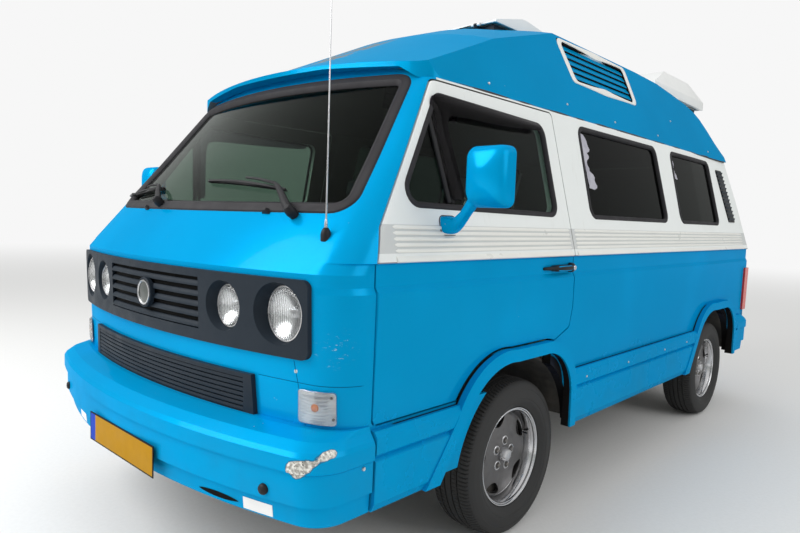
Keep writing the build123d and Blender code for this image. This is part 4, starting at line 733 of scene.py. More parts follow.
# Finishes that are a plain grained material: colour, roughness, grain, strength,
# cloudiness, metal, dust and further sockets
PLAIN = {
    "charcoal_plastic": ((0.013, 0.020, 0.029), 0.50, 1400.0, 0.30, 0.10, 0.0, 0.08, {"specular_ior_level": 0.14}),
    "black_plastic": ((0.010, 0.010, 0.012), 0.45, 1200.0, 0.30, 0.15, 0.0, 0.08, {"specular_ior_level": 0.2}),
    "seal_rubber": ((0.020, 0.019, 0.022), 0.60, 700.0, 0.20, 0.25, 0.0, 0.12, {"specular_ior_level": 0.2}),
    # Near black for openings that are not cut: painted shade in gaps, slots and behind slats.
    "dark_gap": ((0.004, 0.004, 0.004), 0.9, 500.0, 0.10, 0.1, 0.0, 0.0, {"specular_ior_level": 0.1}),
    "drum_iron": ((0.020, 0.018, 0.017), 0.75, 240.0, 0.40, 0.3, 0.0, 0.2, {"specular_ior_level": 0.2}),
    "hatch_plastic": ((0.80, 0.81, 0.80), 0.40, 500.0, 0.12, 0.05, 0.0, 0.0, {"coat_weight": 0.10}),
    "frame_white": ((0.78, 0.78, 0.75), 0.38, 600.0, 0.12, 0.08, 0.0, 0.0, {"coat_weight": 0.2}),
    "chrome": ((0.78, 0.78, 0.79), 0.10, 900.0, 0.02, 0.05, 1.0, 0.0, {}),
    "bright_steel": ((0.55, 0.55, 0.56), 0.28, 900.0, 0.10, 0.1, 1.0, 0.0, {}),
    "dull_steel": ((0.20, 0.19, 0.18), 0.55, 260.0, 0.40, 0.3, 0.8, 0.6, {}),
    "rusty_steel": ((0.16, 0.09, 0.06), 0.75, 200.0, 0.50, 0.45, 0.4, 0.5, {}),
    "mirror_glass": ((0.80, 0.82, 0.83), 0.03, 900.0, 0.0, 0.02, 1.0, 0.0, {}),
    "reflector": ((0.62, 0.63, 0.64), 0.19, 300.0, 0.05, 0.05, 1.0, 0.0, {}),
    "smoked_disc": ((0.035, 0.045, 0.040), 0.16, 300.0, 0.05, 0.30, 0.4, 0.0, {"coat_weight": 0.5}),
    "amber_bulb": ((0.90, 0.24, 0.03), 0.25, 400.0, 0.05, 0.1, 0.0, 0.0, {"coat_weight": 0.4}),
    "dash_vinyl": ((0.030, 0.029, 0.028), 0.60, 620.0, 0.60, 0.2, 0.0, 0.0, {}),
    "lining": ((0.36, 0.34, 0.30), 0.85, 420.0, 0.30, 0.12, 0.0, 0.0, {}),
    "cladding_white": ((0.78, 0.78, 0.74), 0.34, 700.0, 0.06, 0.05, 0.0, 0.10, {"coat_weight": 0.35}),
    "sealant": ((0.020, 0.021, 0.022), 0.70, 260.0, 0.55, 0.30, 0.0, 0.2, {}),
    "seat_piping": ((0.030, 0.031, 0.036), 0.60, 900.0, 0.30, 0.15, 0.0, 0.0, {}),
    "blank_label": ((0.80, 0.80, 0.79), 0.35, 500.0, 0.05, 0.06, 0.0, 0.1, {"coat_weight": 0.2}),
    "underseal": ((0.022, 0.021, 0.020), 0.85, 120.0, 0.6, 0.3, 0.0, 0.6, {}),
}


def fixed_glass():
    """Clear windscreen and dark glass along the sides, in one finish."""
    f = Finish("fixed_glass", (0.5, 0.6, 0.55), 0.02, transmission_weight=1.0, ior=1.11, specular_ior_level=0.25)
    f.set("Base Color", f.mix(f.span(f.axis(1), -1.30, -1.20), (0.30, 0.40, 0.33), (0.022, 0.034, 0.028)))
    f.gloss(4.0, 5.0, 0.45, 0.85, 0.02, 0.10)
    f.bump(f.noise(2.0, 1.0), 0.05, 0.004)
    return f


SPECIAL = {mixer.__name__: mixer for mixer in (
    fixed_glass, paint_blue, paint_two_tone, paint_roof, paint_bumper, tail_lens, indicator_back, number_plate,
    tyre_rubber, cabinet_board, peeled_film)}
SPECIAL.update({
    # The green tint is partly the glass's own and partly painted shade and reflection: darker for the dark inside and
    # the dark green it reflects.
    "clear_glass": lambda: tinted_glass("clear_glass", (0.42, 0.52, 0.48)),
    "dark_glass": lambda: tinted_glass("dark_glass", (0.022, 0.034, 0.028)),
    "smoked_plastic": lambda: tinted_glass("smoked_plastic", (0.12, 0.10, 0.13), 0.08),
    "lamp_lens": lambda: lens("lamp_lens", (0.97, 0.98, 0.98), 34.0),
    "clear_lens": lambda: lens("clear_lens", (0.95, 0.96, 0.96), 90.0, "Z"),
    "alloy_face": lambda: alloy("alloy_face", (0.165, 0.160, 0.160), 0.36, False),
    "alloy_lip": lambda: alloy("alloy_lip", (0.60, 0.60, 0.61), 0.14, True),
    "seat_cloth": lambda: cloth("seat_cloth", (0.085, 0.090, 0.105), (0.13, 0.135, 0.15)),
    "bench_cloth": lambda: cloth("bench_cloth", (0.12, 0.14, 0.17), (0.20, 0.22, 0.25), 700.0),
})


def finish_named(name):
    """The material of that name, mixed once."""
    if name in bpy.data.materials:
        return bpy.data.materials[name]
    if name in SPECIAL:
        return SPECIAL[name]().material
    *settings, sockets = PLAIN[name]
    return grained(name, *settings, **sockets).material


def coat(nodes, name):
    """Gives CAD nodes a finish."""
    for node in nodes:
        mesh = NODES[node].data
        mesh.materials.clear()
        mesh.materials.append(finish_named(name))


# Sizes and colours that a user would change


class CamperStudio(bpy.types.PropertyGroup):
    """The plain studio round the van."""

    floor_colour: bpy.props.FloatVectorProperty(
        name="Floor", description="Colour of the floor", subtype="COLOR", size=3, min=0, max=1,
        default=(0.80, 0.80, 0.79))
    key_power: bpy.props.FloatProperty(
        name="Key light", description="Power of the large light over the nose", unit="POWER", default=480.0)
    side_power: bpy.props.FloatProperty(
        name="Side light", description="Power of the light beside the van", unit="POWER", default=160.0)
    sky: bpy.props.FloatProperty(
        name="Sky", description="Strength of the light from all round", default=0.80, min=0.0)
    camera_place: bpy.props.FloatVectorProperty(
        name="Camera place", description="Where the camera stands", subtype="TRANSLATION", unit="LENGTH",
        default=(2.2502, -3.2609, 1.2906))
    camera_turn: bpy.props.FloatVectorProperty(
        name="Camera turn", description="Heading, pitch and roll of the camera", unit="ROTATION",
        default=(math.radians(-42.721), math.radians(-4.282), math.radians(1.970)))
    camera_lens: bpy.props.FloatProperty(
        name="Lens", description="Focal length on a 36 mm sensor", unit="CAMERA", default=28.467)


class CamperTrim(bpy.types.PropertyGroup):
    """Rubber and plastic trim."""

    screen_seal: bpy.props.FloatProperty(
        name="Windscreen seal", description="Width of the windscreen rubber", unit="LENGTH", default=0.052)
    window_seal: bpy.props.FloatProperty(
        name="Window seal", description="Width of the rubber round the side windows", unit="LENGTH", default=0.024)
    seal_height: bpy.props.FloatProperty(
        name="Seal height", description="How far the rubber stands out", unit="LENGTH", default=0.005)


class CamperWheels(bpy.types.PropertyGroup):
    """Tyres and rims."""

    tread_depth: bpy.props.FloatProperty(
        name="Tread depth", description="Depth of the grooves round the tyre", unit="LENGTH", default=0.007)
    blocks: bpy.props.IntProperty(
        name="Blocks", description="Tread blocks in one turn of the tyre", default=120, min=20)
    nuts: bpy.props.IntProperty(
        name="Wheel nuts", description="Nuts that hold each rim", default=5, min=3)


class CamperCabin(bpy.types.PropertyGroup):
    """Seats and cushions."""

    puff: bpy.props.FloatProperty(
        name="Puff", description="Pressure in the cushions while their cloth settles", default=4.0, min=0.0)
    voxel: bpy.props.FloatProperty(
        name="Cloth mesh", description="Size of the cloth mesh on the cushions", unit="LENGTH", default=0.011)


# The stage

# Lights: name, place, aim and width of the disc
LIGHTS = (("key", (-2.6, -6.5, 5.2), (0.0, -1.2, 0.9), 6.0), ("side", (7.5, 0.5, 4.5), (0.5, 0.0, 1.0), 6.0))
FLOOR_RADIUS, FLOOR_SIDES = 70.0, 96


class CAMPER_OT_stage(bpy.types.Operator):
    """Lays the floor, hangs the lights and sets the camera"""

    bl_idname = "camper.stage"
    bl_label = "Studio"

    def execute(self, context):
        settings = context.scene.camper_studio
        turns = [math.tau * k / FLOOR_SIDES for k in range(FLOOR_SIDES)]
        floor = plain("floor", [(FLOOR_RADIUS * math.cos(t), FLOOR_RADIUS * math.sin(t), 0.0) for t in turns],
                      [tuple(range(FLOOR_SIDES))])
        floor.data.materials.append(self.floor_finish(tuple(settings.floor_colour)))
        self.sky(context, settings.sky)
        for name, place, aim, width in LIGHTS:
            self.lamp(context, name, place, aim, width, getattr(settings, f"{name}_power"))
        self.camera(context, settings)
        context.scene.view_settings.view_transform = "Standard"
        return {"FINISHED"}

    def floor_finish(self, colour):
        f = Finish("studio_floor", colour, 0.75)
        speck = f.noise(55.0, 4.0)
        f.set("Base Color", f.mix(f.span(speck, 0.3, 0.7), tuple(c * 0.97 for c in colour), colour))
        f.bump(f.noise(120.0, 3.0), 0.08, 0.001)
        away = f.vector("LENGTH", f.place, out=1)
        path = f.node("ShaderNodeLightPath")
        seen = f.larger(path.outputs["Is Camera Ray"], path.outputs["Is Glossy Ray"])
        glow = f.node("ShaderNodeEmission", {"Color": (1.0, 1.0, 1.0), "Strength": 0.93})
        mixer = f.node("ShaderNodeMixShader")
        f.feed(mixer.inputs[0], f.times(seen, f.span(away, 5.0, 24.0)))
        f.feed(mixer.inputs[1], f.shader.outputs[0])
        f.feed(mixer.inputs[2], glow.outputs[0])
        f.feed(f.tree.nodes["Material Output"].inputs["Surface"], mixer.outputs[0])
        return f.material

    def sky(self, context, strength):
        world = bpy.data.worlds.new("studio")
        context.scene.world = world
        world.use_nodes = True
        nodes, links = world.node_tree.nodes, world.node_tree.links
        ground = nodes["Background"]
        around = nodes.new("ShaderNodeTexCoord")
        axes = nodes.new("ShaderNodeSeparateXYZ")
        links.new(around.outputs["Generated"], axes.inputs[0])
        rise = nodes.new("ShaderNodeMapRange")
        rise.interpolation_type = "SMOOTHSTEP"
        links.new(axes.outputs[2], rise.inputs["Value"])
        for key, value in (("From Min", 0.02), ("From Max", 0.55), ("To Min", 0.30), ("To Max", 1.0)):
            rise.inputs[key].default_value = value
        tint = nodes.new("ShaderNodeMix")
        tint.data_type = "RGBA"
        links.new(rise.outputs[0], tint.inputs[0])
        tint.inputs[6].default_value = (0.30, 0.34, 0.31, 1.0)
        tint.inputs[7].default_value = (1.0, 1.0, 1.0, 1.0)
        links.new(tint.outputs[2], ground.inputs["Color"])
        ground.inputs["Strength"].default_value = strength
        seen = nodes.new("ShaderNodeBackground")
        seen.inputs["Color"].default_value = (0.93, 0.93, 0.93, 1.0)
        path = nodes.new("ShaderNodeLightPath")
        mixer = nodes.new("ShaderNodeMixShader")
        links.new(path.outputs["Is Camera Ray"], mixer.inputs[0])
        links.new(ground.outputs[0], mixer.inputs[1])
        links.new(seen.outputs[0], mixer.inputs[2])
        links.new(mixer.outputs[0], nodes["World Output"].inputs["Surface"])

    def lamp(self, context, name, place, aim, width, power):
        light = bpy.data.lights.new(name, "AREA")
        light.shape = "DISK"
        light.size = width
        light.energy = power
        holder = bpy.data.objects.new(name, light)
        holder.location = place
        holder.rotation_euler = (Vector(aim) - Vector(place)).to_track_quat("-Z", "Y").to_euler()
        context.scene.collection.objects.link(holder)

    def camera(self, context, settings):
        heading, pitch, roll = settings.camera_turn
        ahead = Vector((math.sin(heading) * math.cos(pitch), math.cos(heading) * math.cos(pitch), math.sin(pitch)))
        level = ahead.cross(Vector((0, 0, 1))).normalized()
        upright = level.cross(ahead)
        right = level * math.cos(roll) + upright * math.sin(roll)
        above = upright * math.cos(roll) - level * math.sin(roll)
        lens = bpy.data.cameras.new("camera")
        lens.lens = settings.camera_lens
        lens.sensor_width = 36.0
        camera = bpy.data.objects.new("camera", lens)
        turn = Matrix((right, above, -ahead)).transposed().to_4x4()
        camera.matrix_world = Matrix.Translation(settings.camera_place) @ turn
        context.scene.collection.objects.link(camera)
        context.scene.camera = camera


# Painted and plain CAD nodes

COATS = (
    ("paint_two_tone", ("side_left", "side_right", "door_left", "door_right", "sliding_door", "rear_frame",
                        "tailgate")),
    ("paint_blue", ("nose_panel", "sill_skirts")),
    ("paint_bumper", ("front_bumper", "rear_bumper")),
    ("paint_roof", ("high_roof",)),
    # The CAD louvre goes black under the white frame and blades: painted shade behind the blades.
    ("dark_gap", ("roof_louvres",)),
    ("charcoal_plastic", ("grille_panel", "lower_grille", "hatch_frames")),
    ("black_plastic", ("pillar_vents", "steering_wheel")),
    ("number_plate", ("number_plates",)),
    ("tail_lens", ("tail_lamps",)),
    ("fixed_glass", ("fixed_glass",)),
    ("clear_glass", ("door_glass_left", "door_glass_right")),
    ("dark_glass", ("tailgate_glass",)),
    ("underseal", ("floor_pan", "fuel_tank")),
    ("rusty_steel", ("engine_block", "silencer")),
    ("dull_steel", ("front_suspension", "rear_suspension", "knuckle_left", "knuckle_right")),
    ("dash_vinyl", ("dashboard",)),
    ("cabinet_board", ("kitchen_cabinet",)),
    ("tyre_rubber", ("spare_wheel",)),
)


class CAMPER_OT_coats(bpy.types.Operator):
    """Paints, moulds and glazes the CAD nodes"""

    bl_idname = "camper.coats"
    bl_label = "Coats"

    def execute(self, context):
        for name, nodes in COATS:
            coat(nodes, name)
        return {"FINISHED"}


# Glazing

SCREEN_FOOT = (-2.033, 1.314)
SCREEN_HEAD = (-1.634, 1.798)
SCREEN_LEAN = math.atan2(SCREEN_HEAD[0] - SCREEN_FOOT[0], SCREEN_HEAD[1] - SCREEN_FOOT[1])
SCREEN_MIDDLE = Vector((0, (SCREEN_FOOT[0] + SCREEN_HEAD[0]) / 2, (SCREEN_FOOT[1] + SCREEN_HEAD[1]) / 2))
SCREEN_OUT = Vector((0, -math.cos(SCREEN_LEAN), math.sin(SCREEN_LEAN)))
SCREEN_UP = Vector((0, math.sin(SCREEN_LEAN), math.cos(SCREEN_LEAN)))
SCREEN_CORNERS = ((-0.775, -0.230), (0.775, -0.230), (0.668, 0.362), (-0.668, 0.362))
# Corners of the window openings in the side view, along and up, with their corner radius
SIDE_WINDOWS = (
    (((-0.454, 1.336), (0.507, 1.336), (0.499, 1.752), (-0.440, 1.752)), 0.042),
    (((0.740, 1.336), (1.489, 1.336), (1.481, 1.752), (0.754, 1.752)), 0.042),
)
DOOR_WINDOW = ((-1.775, 1.345), (-0.790, 1.335), (-0.793, 1.712), (-1.512, 1.730))
TAIL_WINDOW = ((-0.620, 1.300), (0.620, 1.300), (0.560, 1.705), (-0.560, 1.705))


def on_screen(across, up, out=0.0):
    """A place on the plane that leans with the windscreen."""
    return SCREEN_MIDDLE + Vector((across, 0, 0)) + SCREEN_UP * up + SCREEN_OUT * out


def screen_outline(grow):
    """The windscreen's outline on its plane, with bowed head and foot."""
    low, high = SCREEN_CORNERS[0][1], SCREEN_CORNERS[2][1]
    path = []
    for across, up in round_outline(offset_outline(SCREEN_CORNERS, grow), 0.045 + grow, 0.03):
        part = (up - low) / (high - low)
        half = 0.775 + (0.668 - 0.775) * part
        bow = 0.070 + (0.040 - 0.070) * part
        path.append((across, up - bow * max(0.0, 1 - (across / half) ** 2)))
    return path


def seal(name, places, normals, width, height, body, inside=0.6, sink=0.012):
    """A rubber round an opening: it laps onto the panel and dips to the glass."""
    middle = sum(places, Vector()) / len(places)
    across = (places[1] - places[0]).cross(normals[0])
    if across.dot(places[0] - middle) < 0:
        places, normals = places[::-1], normals[::-1]
    inner, outer = -width * inside, width * (1 - inside)
    section = ((inner, -sink), (inner, -sink * 0.5), (inner * 0.82, height * 0.1), (inner * 0.45, height),
               (inner * 0.12, height * 0.78), (outer * 0.30, height), (outer * 0.75, height * 0.72),
               (outer, -0.0008), (0.0, -0.001))
    build(name, *sweep(places, normals, section), "seal_rubber", body, 30)


class CAMPER_OT_glazing(bpy.types.Operator):
    """Fits the rubbers, the quarter lights and the wind deflectors"""

    bl_idname = "camper.glazing"
    bl_label = "Glazing"

    def execute(self, context):
        trim = context.scene.camper_trim
        nose = Skin("nose_panel")
        starts = [on_screen(a, u, 0.5) for a, u in screen_outline(0.012)]
        places, normals = follow(nose, starts, -SCREEN_OUT)
        seal("windscreen_seal", places, normals, trim.screen_seal, trim.seal_height * 1.4, "body", inside=0.62,
             sink=0.016)
        for sign, side in SIDES:
            skin = Skin(*(("side_left",) if sign > 0 else ("side_right", "sliding_door")))
            for i, (corners, radius) in enumerate(SIDE_WINDOWS):
                self.window(f"window_seal_{side}_{i}", skin, sign, corners, radius, trim, "body")
            self.window(f"door_window_seal_{side}", Skin(f"door_{side}"), sign, DOOR_WINDOW, 0.045, trim,
                        f"door_{side}")
            self.quarter_light(sign, side)
            self.deflector(sign, side)
        self.tail(trim)
        return {"FINISHED"}

    def window(self, name, skin, sign, corners, radius, trim, body):
        path = round_outline(offset_outline(corners, 0.006), radius + 0.006, 0.04)
        starts = [Vector((sign * OUTSIDE, p[0], p[1])) for p in path]
        places, normals = follow(skin, starts, (-sign, 0, 0))
        seal(name, places, normals, trim.window_seal, trim.seal_height, body)

    def tail(self, trim):
        path = round_outline(offset_outline(TAIL_WINDOW, 0.006), 0.066, 0.04)
        starts = [Vector((p[0], 2.6, p[1])) for p in path]
        places, normals = follow(Skin("tailgate"), starts, (0, -1, 0))
        seal("tailgate_seal", places, normals, trim.screen_seal, trim.seal_height, "tailgate")

    def quarter_light(self, sign, side):
        """The upright channel between the quarter light and the sliding pane of a front door."""
        glass = Skin(f"door_glass_{side}")
        low, high = Vector((-1.500, 1.352)), Vector((-1.553, 1.712))
        shape = Shape()
        for shift, half, out, top in ((-0.020, 0.010, 0.010, 0.82), (0.004, 0.007, 0.007, 0.91)):
            ends = [low.lerp(high, t * top) for t in (0.0, 0.25, 0.5, 0.75, 1.0)]
            places, normals = zip(*(glass.beside(sign, end.x + shift, end.y) for end in ends))
            section = mirrored(((-half, -0.002), (-half, out * 0.7), (-half * 0.5, out)))
            shape.add(*sweep(places, normals, section, False))
        shape.build(f"quarter_channel_{side}", "black_plastic", f"door_{side}", smooth=30)

    def deflector(self, sign, side):
        """A smoked strip down the front and along the head of the sliding pane."""
        skin = Skin(f"door_{side}", f"door_glass_{side}")
        outer = [(-1.507, 1.360), (-1.525, 1.46), (-1.543, 1.56), (-1.558, 1.65), (-1.560, 1.700), (-1.545, 1.727),
                 (-1.510, 1.737), (-1.40, 1.735), (-1.25, 1.731), (-1.10, 1.727), (-0.95, 1.724), (-0.82, 1.720)]
        inner = [(-1.448, 1.362), (-1.462, 1.45), (-1.476, 1.54), (-1.482, 1.60), (-1.480, 1.635), (-1.462, 1.657),
                 (-1.430, 1.664), (-1.35, 1.666), (-1.22, 1.668), (-1.09, 1.672), (-0.95, 1.678), (-0.83, 1.684)]
        lift = ((0.0, 0.004), (0.25, 0.013), (0.5, 0.019), (0.75, 0.022), (1.0, 0.023))
        grid = []
        for a, b in zip(outer, inner):
            start, start_normal = skin.beside(sign, *a)
            end, _ = skin.beside(sign, *b)
            end.x = start.x + (end.x - start.x) * 0.55
            for part, out in lift:
                grid.append(start.lerp(end, part) + start_normal * out)
        faces = ring_faces(len(outer), len(lift), False, False)
        build(f"wind_deflector_{side}", grid, faces, "smoked_plastic", f"door_{side}", 60,
              modifiers=(("SUBSURF", {"levels": 1}), ("SOLIDIFY", {"thickness": 0.0025, "offset": 0.0})))


# The nose

# Headlamps: which, place across, radius of the glass
LAMPS = (("outer", 0.703, 0.0845), ("inner", 0.463, 0.0690))
LAMP_Z = 0.992
# Bow of the upright nose: its radius, and where it stands in the middle
NOSE_BOW, NOSE_Y = 3.410, -2.180
# Slats: where a CAD slat is probed across the van, steps along a slat, and how proud its back and
# the plate of painted shade behind it stand
PROBE_X, SLAT_STEPS, SLAT_BACK, PLATE_OUT = 0.30, 36, 0.0006, 0.0025
# Rows of slats: name, CAD node, half width, foot, head, count, where a CAD slat is probed
# and how proud it stands there, then the section: height in the pitch and how proud
SLAT_ROWS = (
    ("louvre_slats", "grille_panel", 0.3355, 0.902, 1.076, 5, 0.3, 0.014,
     ((0.10, 0.0040), (0.11, 0.0150), (0.14, 0.0164), (0.19, 0.0168), (0.30, 0.0160), (0.43, 0.0142), (0.54, 0.0116),
      (0.62, 0.0090), (0.64, 0.0040))),
    ("lower_slats", "lower_grille", 0.5525, 0.662, 0.772, 7, 0.5, 0.013,
     ((0.06, 0.0040), (0.10, 0.0140), (0.18, 0.0152), (0.34, 0.0152), (0.60, 0.0144), (0.82, 0.0134), (0.90, 0.0040))),
)


def nose_line(across):
    """Where the upright nose stands at a place across the van."""
    return NOSE_Y + NOSE_BOW - math.sqrt(NOSE_BOW ** 2 - across ** 2)


def merged(node, digits, keep=lambda middle: True):
    """Those faces of a CAD node whose middle is kept, joined where their corners meet."""
    mesh = NODES[node].data
    used, verts, faces = {}, [], []
    for polygon in mesh.polygons:
        if keep(polygon.center):
            face = []
            for i in polygon.vertices:
                key = tuple(round(c, digits) for c in mesh.vertices[i].co)
                if key not in used:
                    used[key] = len(verts)
                    verts.append(mesh.vertices[i].co.copy())
                face.append(used[key])
            if len(set(face)) == len(face):
                faces.append(tuple(face))
    return verts, faces


class CAMPER_OT_nose(bpy.types.Operator):
    """Fits the headlamps, indicators, slats, round boss, wipers, washer jets and aerial"""

    bl_idname = "camper.nose"
    bl_label = "Nose"

    def execute(self, context):
        for which, place, radius in LAMPS:
            for sign, side in SIDES:
                self.headlamp(f"{which}_lamp_{side}", sign * place, radius)
        for sign, side in SIDES:
            self.indicator(sign, side)
        verts, faces = merged("grille_panel", 5, lambda c: not (abs(c.x) < 0.334 and 0.9035 < c.z < 1.0745))
        build("grille_mask", verts, faces, "charcoal_plastic", "body", replaces=("grille_panel",))
        for row in SLAT_ROWS:
            self.slats(*row)
        self.boss()
        self.wipers()
        self.aerial()
        return {"FINISHED"}

    def headlamp(self, name, across, radius):
        """A deep reflector bowl with a bulb cap under a fluted glass in a thin steel ring."""
        place = (across, nose_line(across) + 0.016, LAMP_Z)
        aim = Matrix.Translation(place) @ Matrix.Rotation(math.pi / 2, 4, "X")
        bowl = [(radius * math.sqrt(t), -0.032 * (1 - t)) for t in (0.004, 0.04, 0.12, 0.25, 0.42, 0.62, 0.82, 1.0)]
        shape = Shape().add(*turned(bowl, 48, aim))
        shape.add(*turned([(0.0002, -0.014), (0.012, -0.014), (0.015, -0.018), (0.015, -0.030), (0.0002, -0.030)],
                          24, aim))
        shape.build(f"{name}_bowl", "reflector", "body", smooth=40)
        dome = [(radius * 0.985 * math.sin(a), radius * 0.16 * math.cos(a))
                for a in [math.pi / 2 * k / 9 for k in range(10)]]
        dome = [(max(r, 0.0002), h + 0.002) for r, h in dome]
        back = [(r * 0.97, h - 0.003) for r, h in reversed(dome)]
        build(f"{name}_glass", *turned(dome + back, 64, aim), "lamp_lens", "body", 50,
              replaces=("front_lamps",) if name == "outer_lamp_left" else ())
        ring = [(radius * scale, height) for scale, height in (
            (0.95, 0.003), (0.97, 0.006), (1.01, 0.006), (1.035, 0.002), (1.04, -0.010), (1.0, -0.034))]
        build(f"{name}_ring", *turned(ring, 64, aim), "bright_steel", "body", 40)

    def indicator(self, sign, side):
        """A clear corner lens over a bright reflector and an amber bulb, held by two screws."""
        skin = Skin("front_lamps")
        outline = round_outline(oblong(0.7685, 0.8835, 0.6705, 0.7725), 0.009, 0.012, 4)
        middle = Vector((0.826, 0.7215))
        for name, finish, rings in (
                ("lens", "clear_lens", ((1.0, -0.006), (1.0, -0.001), (0.97, 0.0006), (0.90, 0.0012), (0.60, 0.0022),
                                        (0.30, 0.0024), (0.04, 0.0024))),
                ("reflector", "indicator_back", ((0.97, -0.0025), (0.94, -0.0040), (0.66, -0.0042), (0.62, -0.0052),
                                                 (0.45, -0.0060), (0.22, -0.0065), (0.03, -0.0066)))):
            verts = []
            for scale, out in rings:
                for p in outline:
                    at = middle + (Vector(p) - middle) * scale
                    place, normal = skin.ahead(sign * at.x, at.y)
                    verts.append(place + normal * out)
            build(f"indicator_{name}_{side}", verts, capped_faces(len(rings), len(outline)), finish, "body", 40,
                  modifiers=(("SOLIDIFY", {"thickness": 0.0018, "offset": -1.0}),) if name == "lens" else ())
        place, normal = skin.ahead(sign * middle.x, middle.y)
        stand = standing(place - normal * 0.0062, normal)
        bulb = [(0.0125 * math.sin(a), -0.0060 * math.cos(a)) for a in [math.pi * k / 10 for k in range(1, 10)]]
        bulb = [(0.0001, -0.0060)] + bulb + [(0.0001, 0.0060)]
        build(f"indicator_bulb_{side}", *turned(bulb, 20, stand), "amber_bulb", "body", 60)
        shape = Shape()
        for x, z in ((0.872, 0.757), (0.876, 0.692)):
            shape.add(*screw_head(*skin.ahead(sign * x, z), 0.0045, 0.0030))
        shape.build(f"indicator_screws_{side}", "dull_steel", "body", smooth=30)

    def slats(self, name, node, half, low, high, count, probe, proud, section):
        """Sloping slats that follow the nose's bow, over a back plate that is black as painted shade behind them."""
        skin = Skin(node)
        pitch = (high - low) / count
        stations = [half * (2 * k / SLAT_STEPS - 1) for k in range(SLAT_STEPS + 1)]
        shape = Shape()
        for k in range(count):
            foot = low + k * pitch
            place, _ = skin.ahead(PROBE_X, foot + probe * pitch)
            lean = place.y + proud - nose_line(PROBE_X)
            rows = section + ((section[-1][0], SLAT_BACK), (section[0][0], SLAT_BACK))
            verts = [(x, nose_line(x) + lean - out, foot + up * pitch) for x in stations for up, out in rows]
            shape.add(verts, solid_faces(len(stations), len(rows)), 0)
            # The plate is a black sheet: painted shade in the gaps between the slats.
            verts = [(x, nose_line(x) + lean - PLATE_OUT, foot + up * pitch) for x in stations for up in (0, 1)]
            shape.add(verts, ring_faces(len(stations), 2, False, False), 1)
        shape.build(name, ["charcoal_plastic", "dark_gap"], "body", smooth=32)

    def boss(self):
        """A bare round boss in the middle of the louvres."""
        aim = Matrix.Translation((0.0, nose_line(0.0) - 0.018, LAMP_Z)) @ Matrix.Rotation(math.pi / 2, 4, "X")
        shape = Shape()
        shape.add(*turned([(0.0550, -0.010), (0.0550, 0.0055), (0.0530, 0.0075), (0.0500, 0.0075), (0.0480, 0.0040),
                           (0.0460, 0.0035)], 48, aim), 0)
        shape.add(*turned([(0.0470, 0.0030), (0.0455, 0.0085), (0.0415, 0.0090), (0.0395, 0.0060)], 48, aim), 1)
        shape.add(*turned([(0.0396, 0.0060), (0.0380, 0.0046), (0.0200, 0.0056), (0.0002, 0.0060)], 48, aim), 2)
        shape.build("nose_boss", ["charcoal_plastic", "bright_steel", "smoked_disc"], "body", smooth=35)

    def wipers(self):
        """Two wipers parked along the foot of the windscreen, and the washer jets."""
        glass = Skin("fixed_glass", "nose_panel")
        for shift, side in ((0.0, "left"), (-0.835, "right")):
            shape = Shape()
            path = [(0.600, -0.302, 0.030), (0.575, -0.285, 0.034), (0.520, -0.245, 0.036), (0.474, -0.212, 0.034),
                    (0.440, -0.195, 0.030), (0.340, -0.180, 0.026), (0.260, -0.174, 0.022)]
            thick = (0.013, 0.013, 0.011, 0.009, 0.0055, 0.0045, 0.004)
            points, outs = self.lay(glass, [(x + shift, u, out) for x, u, out in path])
            shape.add(*self.taper(points, outs, thick))
            knob = standing(points[0], outs[0])
            shape.add(*turned([(0.0002, 0.016), (0.010, 0.015), (0.016, 0.008), (0.019, -0.010), (0.015, -0.034)],
                              24, knob))
            blade = [(0.015 + 0.047 * k + shift, -0.186 - 0.0018 * k) for k in range(11)]
            low, low_out = self.lay(glass, [(x, u, 0.0035) for x, u in blade])
            section = mirrored(((-0.0012, -0.003), (-0.004, 0.004), (-0.004, 0.008)))
            shape.add(*sweep(low, low_out, section, False))
            bow = [0.010 + 0.008 * math.sin(math.pi * k / 10) for k in range(11)]
            high, high_out = self.lay(glass, [(x, u, 0.004 + h) for (x, u), h in zip(blade, bow)])
            shape.add(*sweep(high, high_out, mirrored(((-0.0045, -0.001), (-0.0045, 0.0015))), False))
            shape.build(f"wiper_{side}", "black_plastic", "body", smooth=40,
                        replaces=("wipers_and_aerial",) if side == "left" else ())
        corners = ((-0.020, -0.010, -0.001), (0.020, -0.010, -0.001), (0.016, 0.012, -0.001), (-0.016, 0.012, -0.001),
                   (-0.006, -0.006, 0.016), (0.006, -0.006, 0.016), (0.006, 0.004, 0.018), (-0.006, 0.004, 0.018))
        faces = [(0, 3, 2, 1), (4, 5, 6, 7), (0, 1, 5, 4), (1, 2, 6, 5), (2, 3, 7, 6), (3, 0, 4, 7)]
        for x, side in ((0.470, "left"), (-0.357, "right")):
            foot = standing(*Skin("nose_panel").ahead(x, 1.300))
            build(f"washer_jet_{side}", [foot @ Vector(v) for v in corners], faces, "black_plastic", "body", 30,
                  modifiers=(("BEVEL", {"width": 0.0015, "segments": 2}),))

    def lay(self, skin, rows):
        """Places on the windscreen at a height above it, and their normals."""
        places = [skin.meet(on_screen(across, up, 0.5), -SCREEN_OUT)[0] + SCREEN_OUT * out for across, up, out in rows]
        return places, [SCREEN_OUT] * len(places)

    def taper(self, points, normals, thick):
        """A flat-sided arm that thins along its length."""
        verts = []
        for i, point in enumerate(points):
            along = (points[min(i + 1, len(points) - 1)] - points[max(i - 1, 0)]).normalized()
            across = along.cross(normals[i]).normalized()
            t = thick[i]
            section = mirrored(((-t, -t * 0.5), (-t, t * 0.3), (-t * 0.5, t * 0.7)))
            verts += [point + across * a + normals[i] * n for a, n in section]
        return verts, solid_faces(len(points), 6)

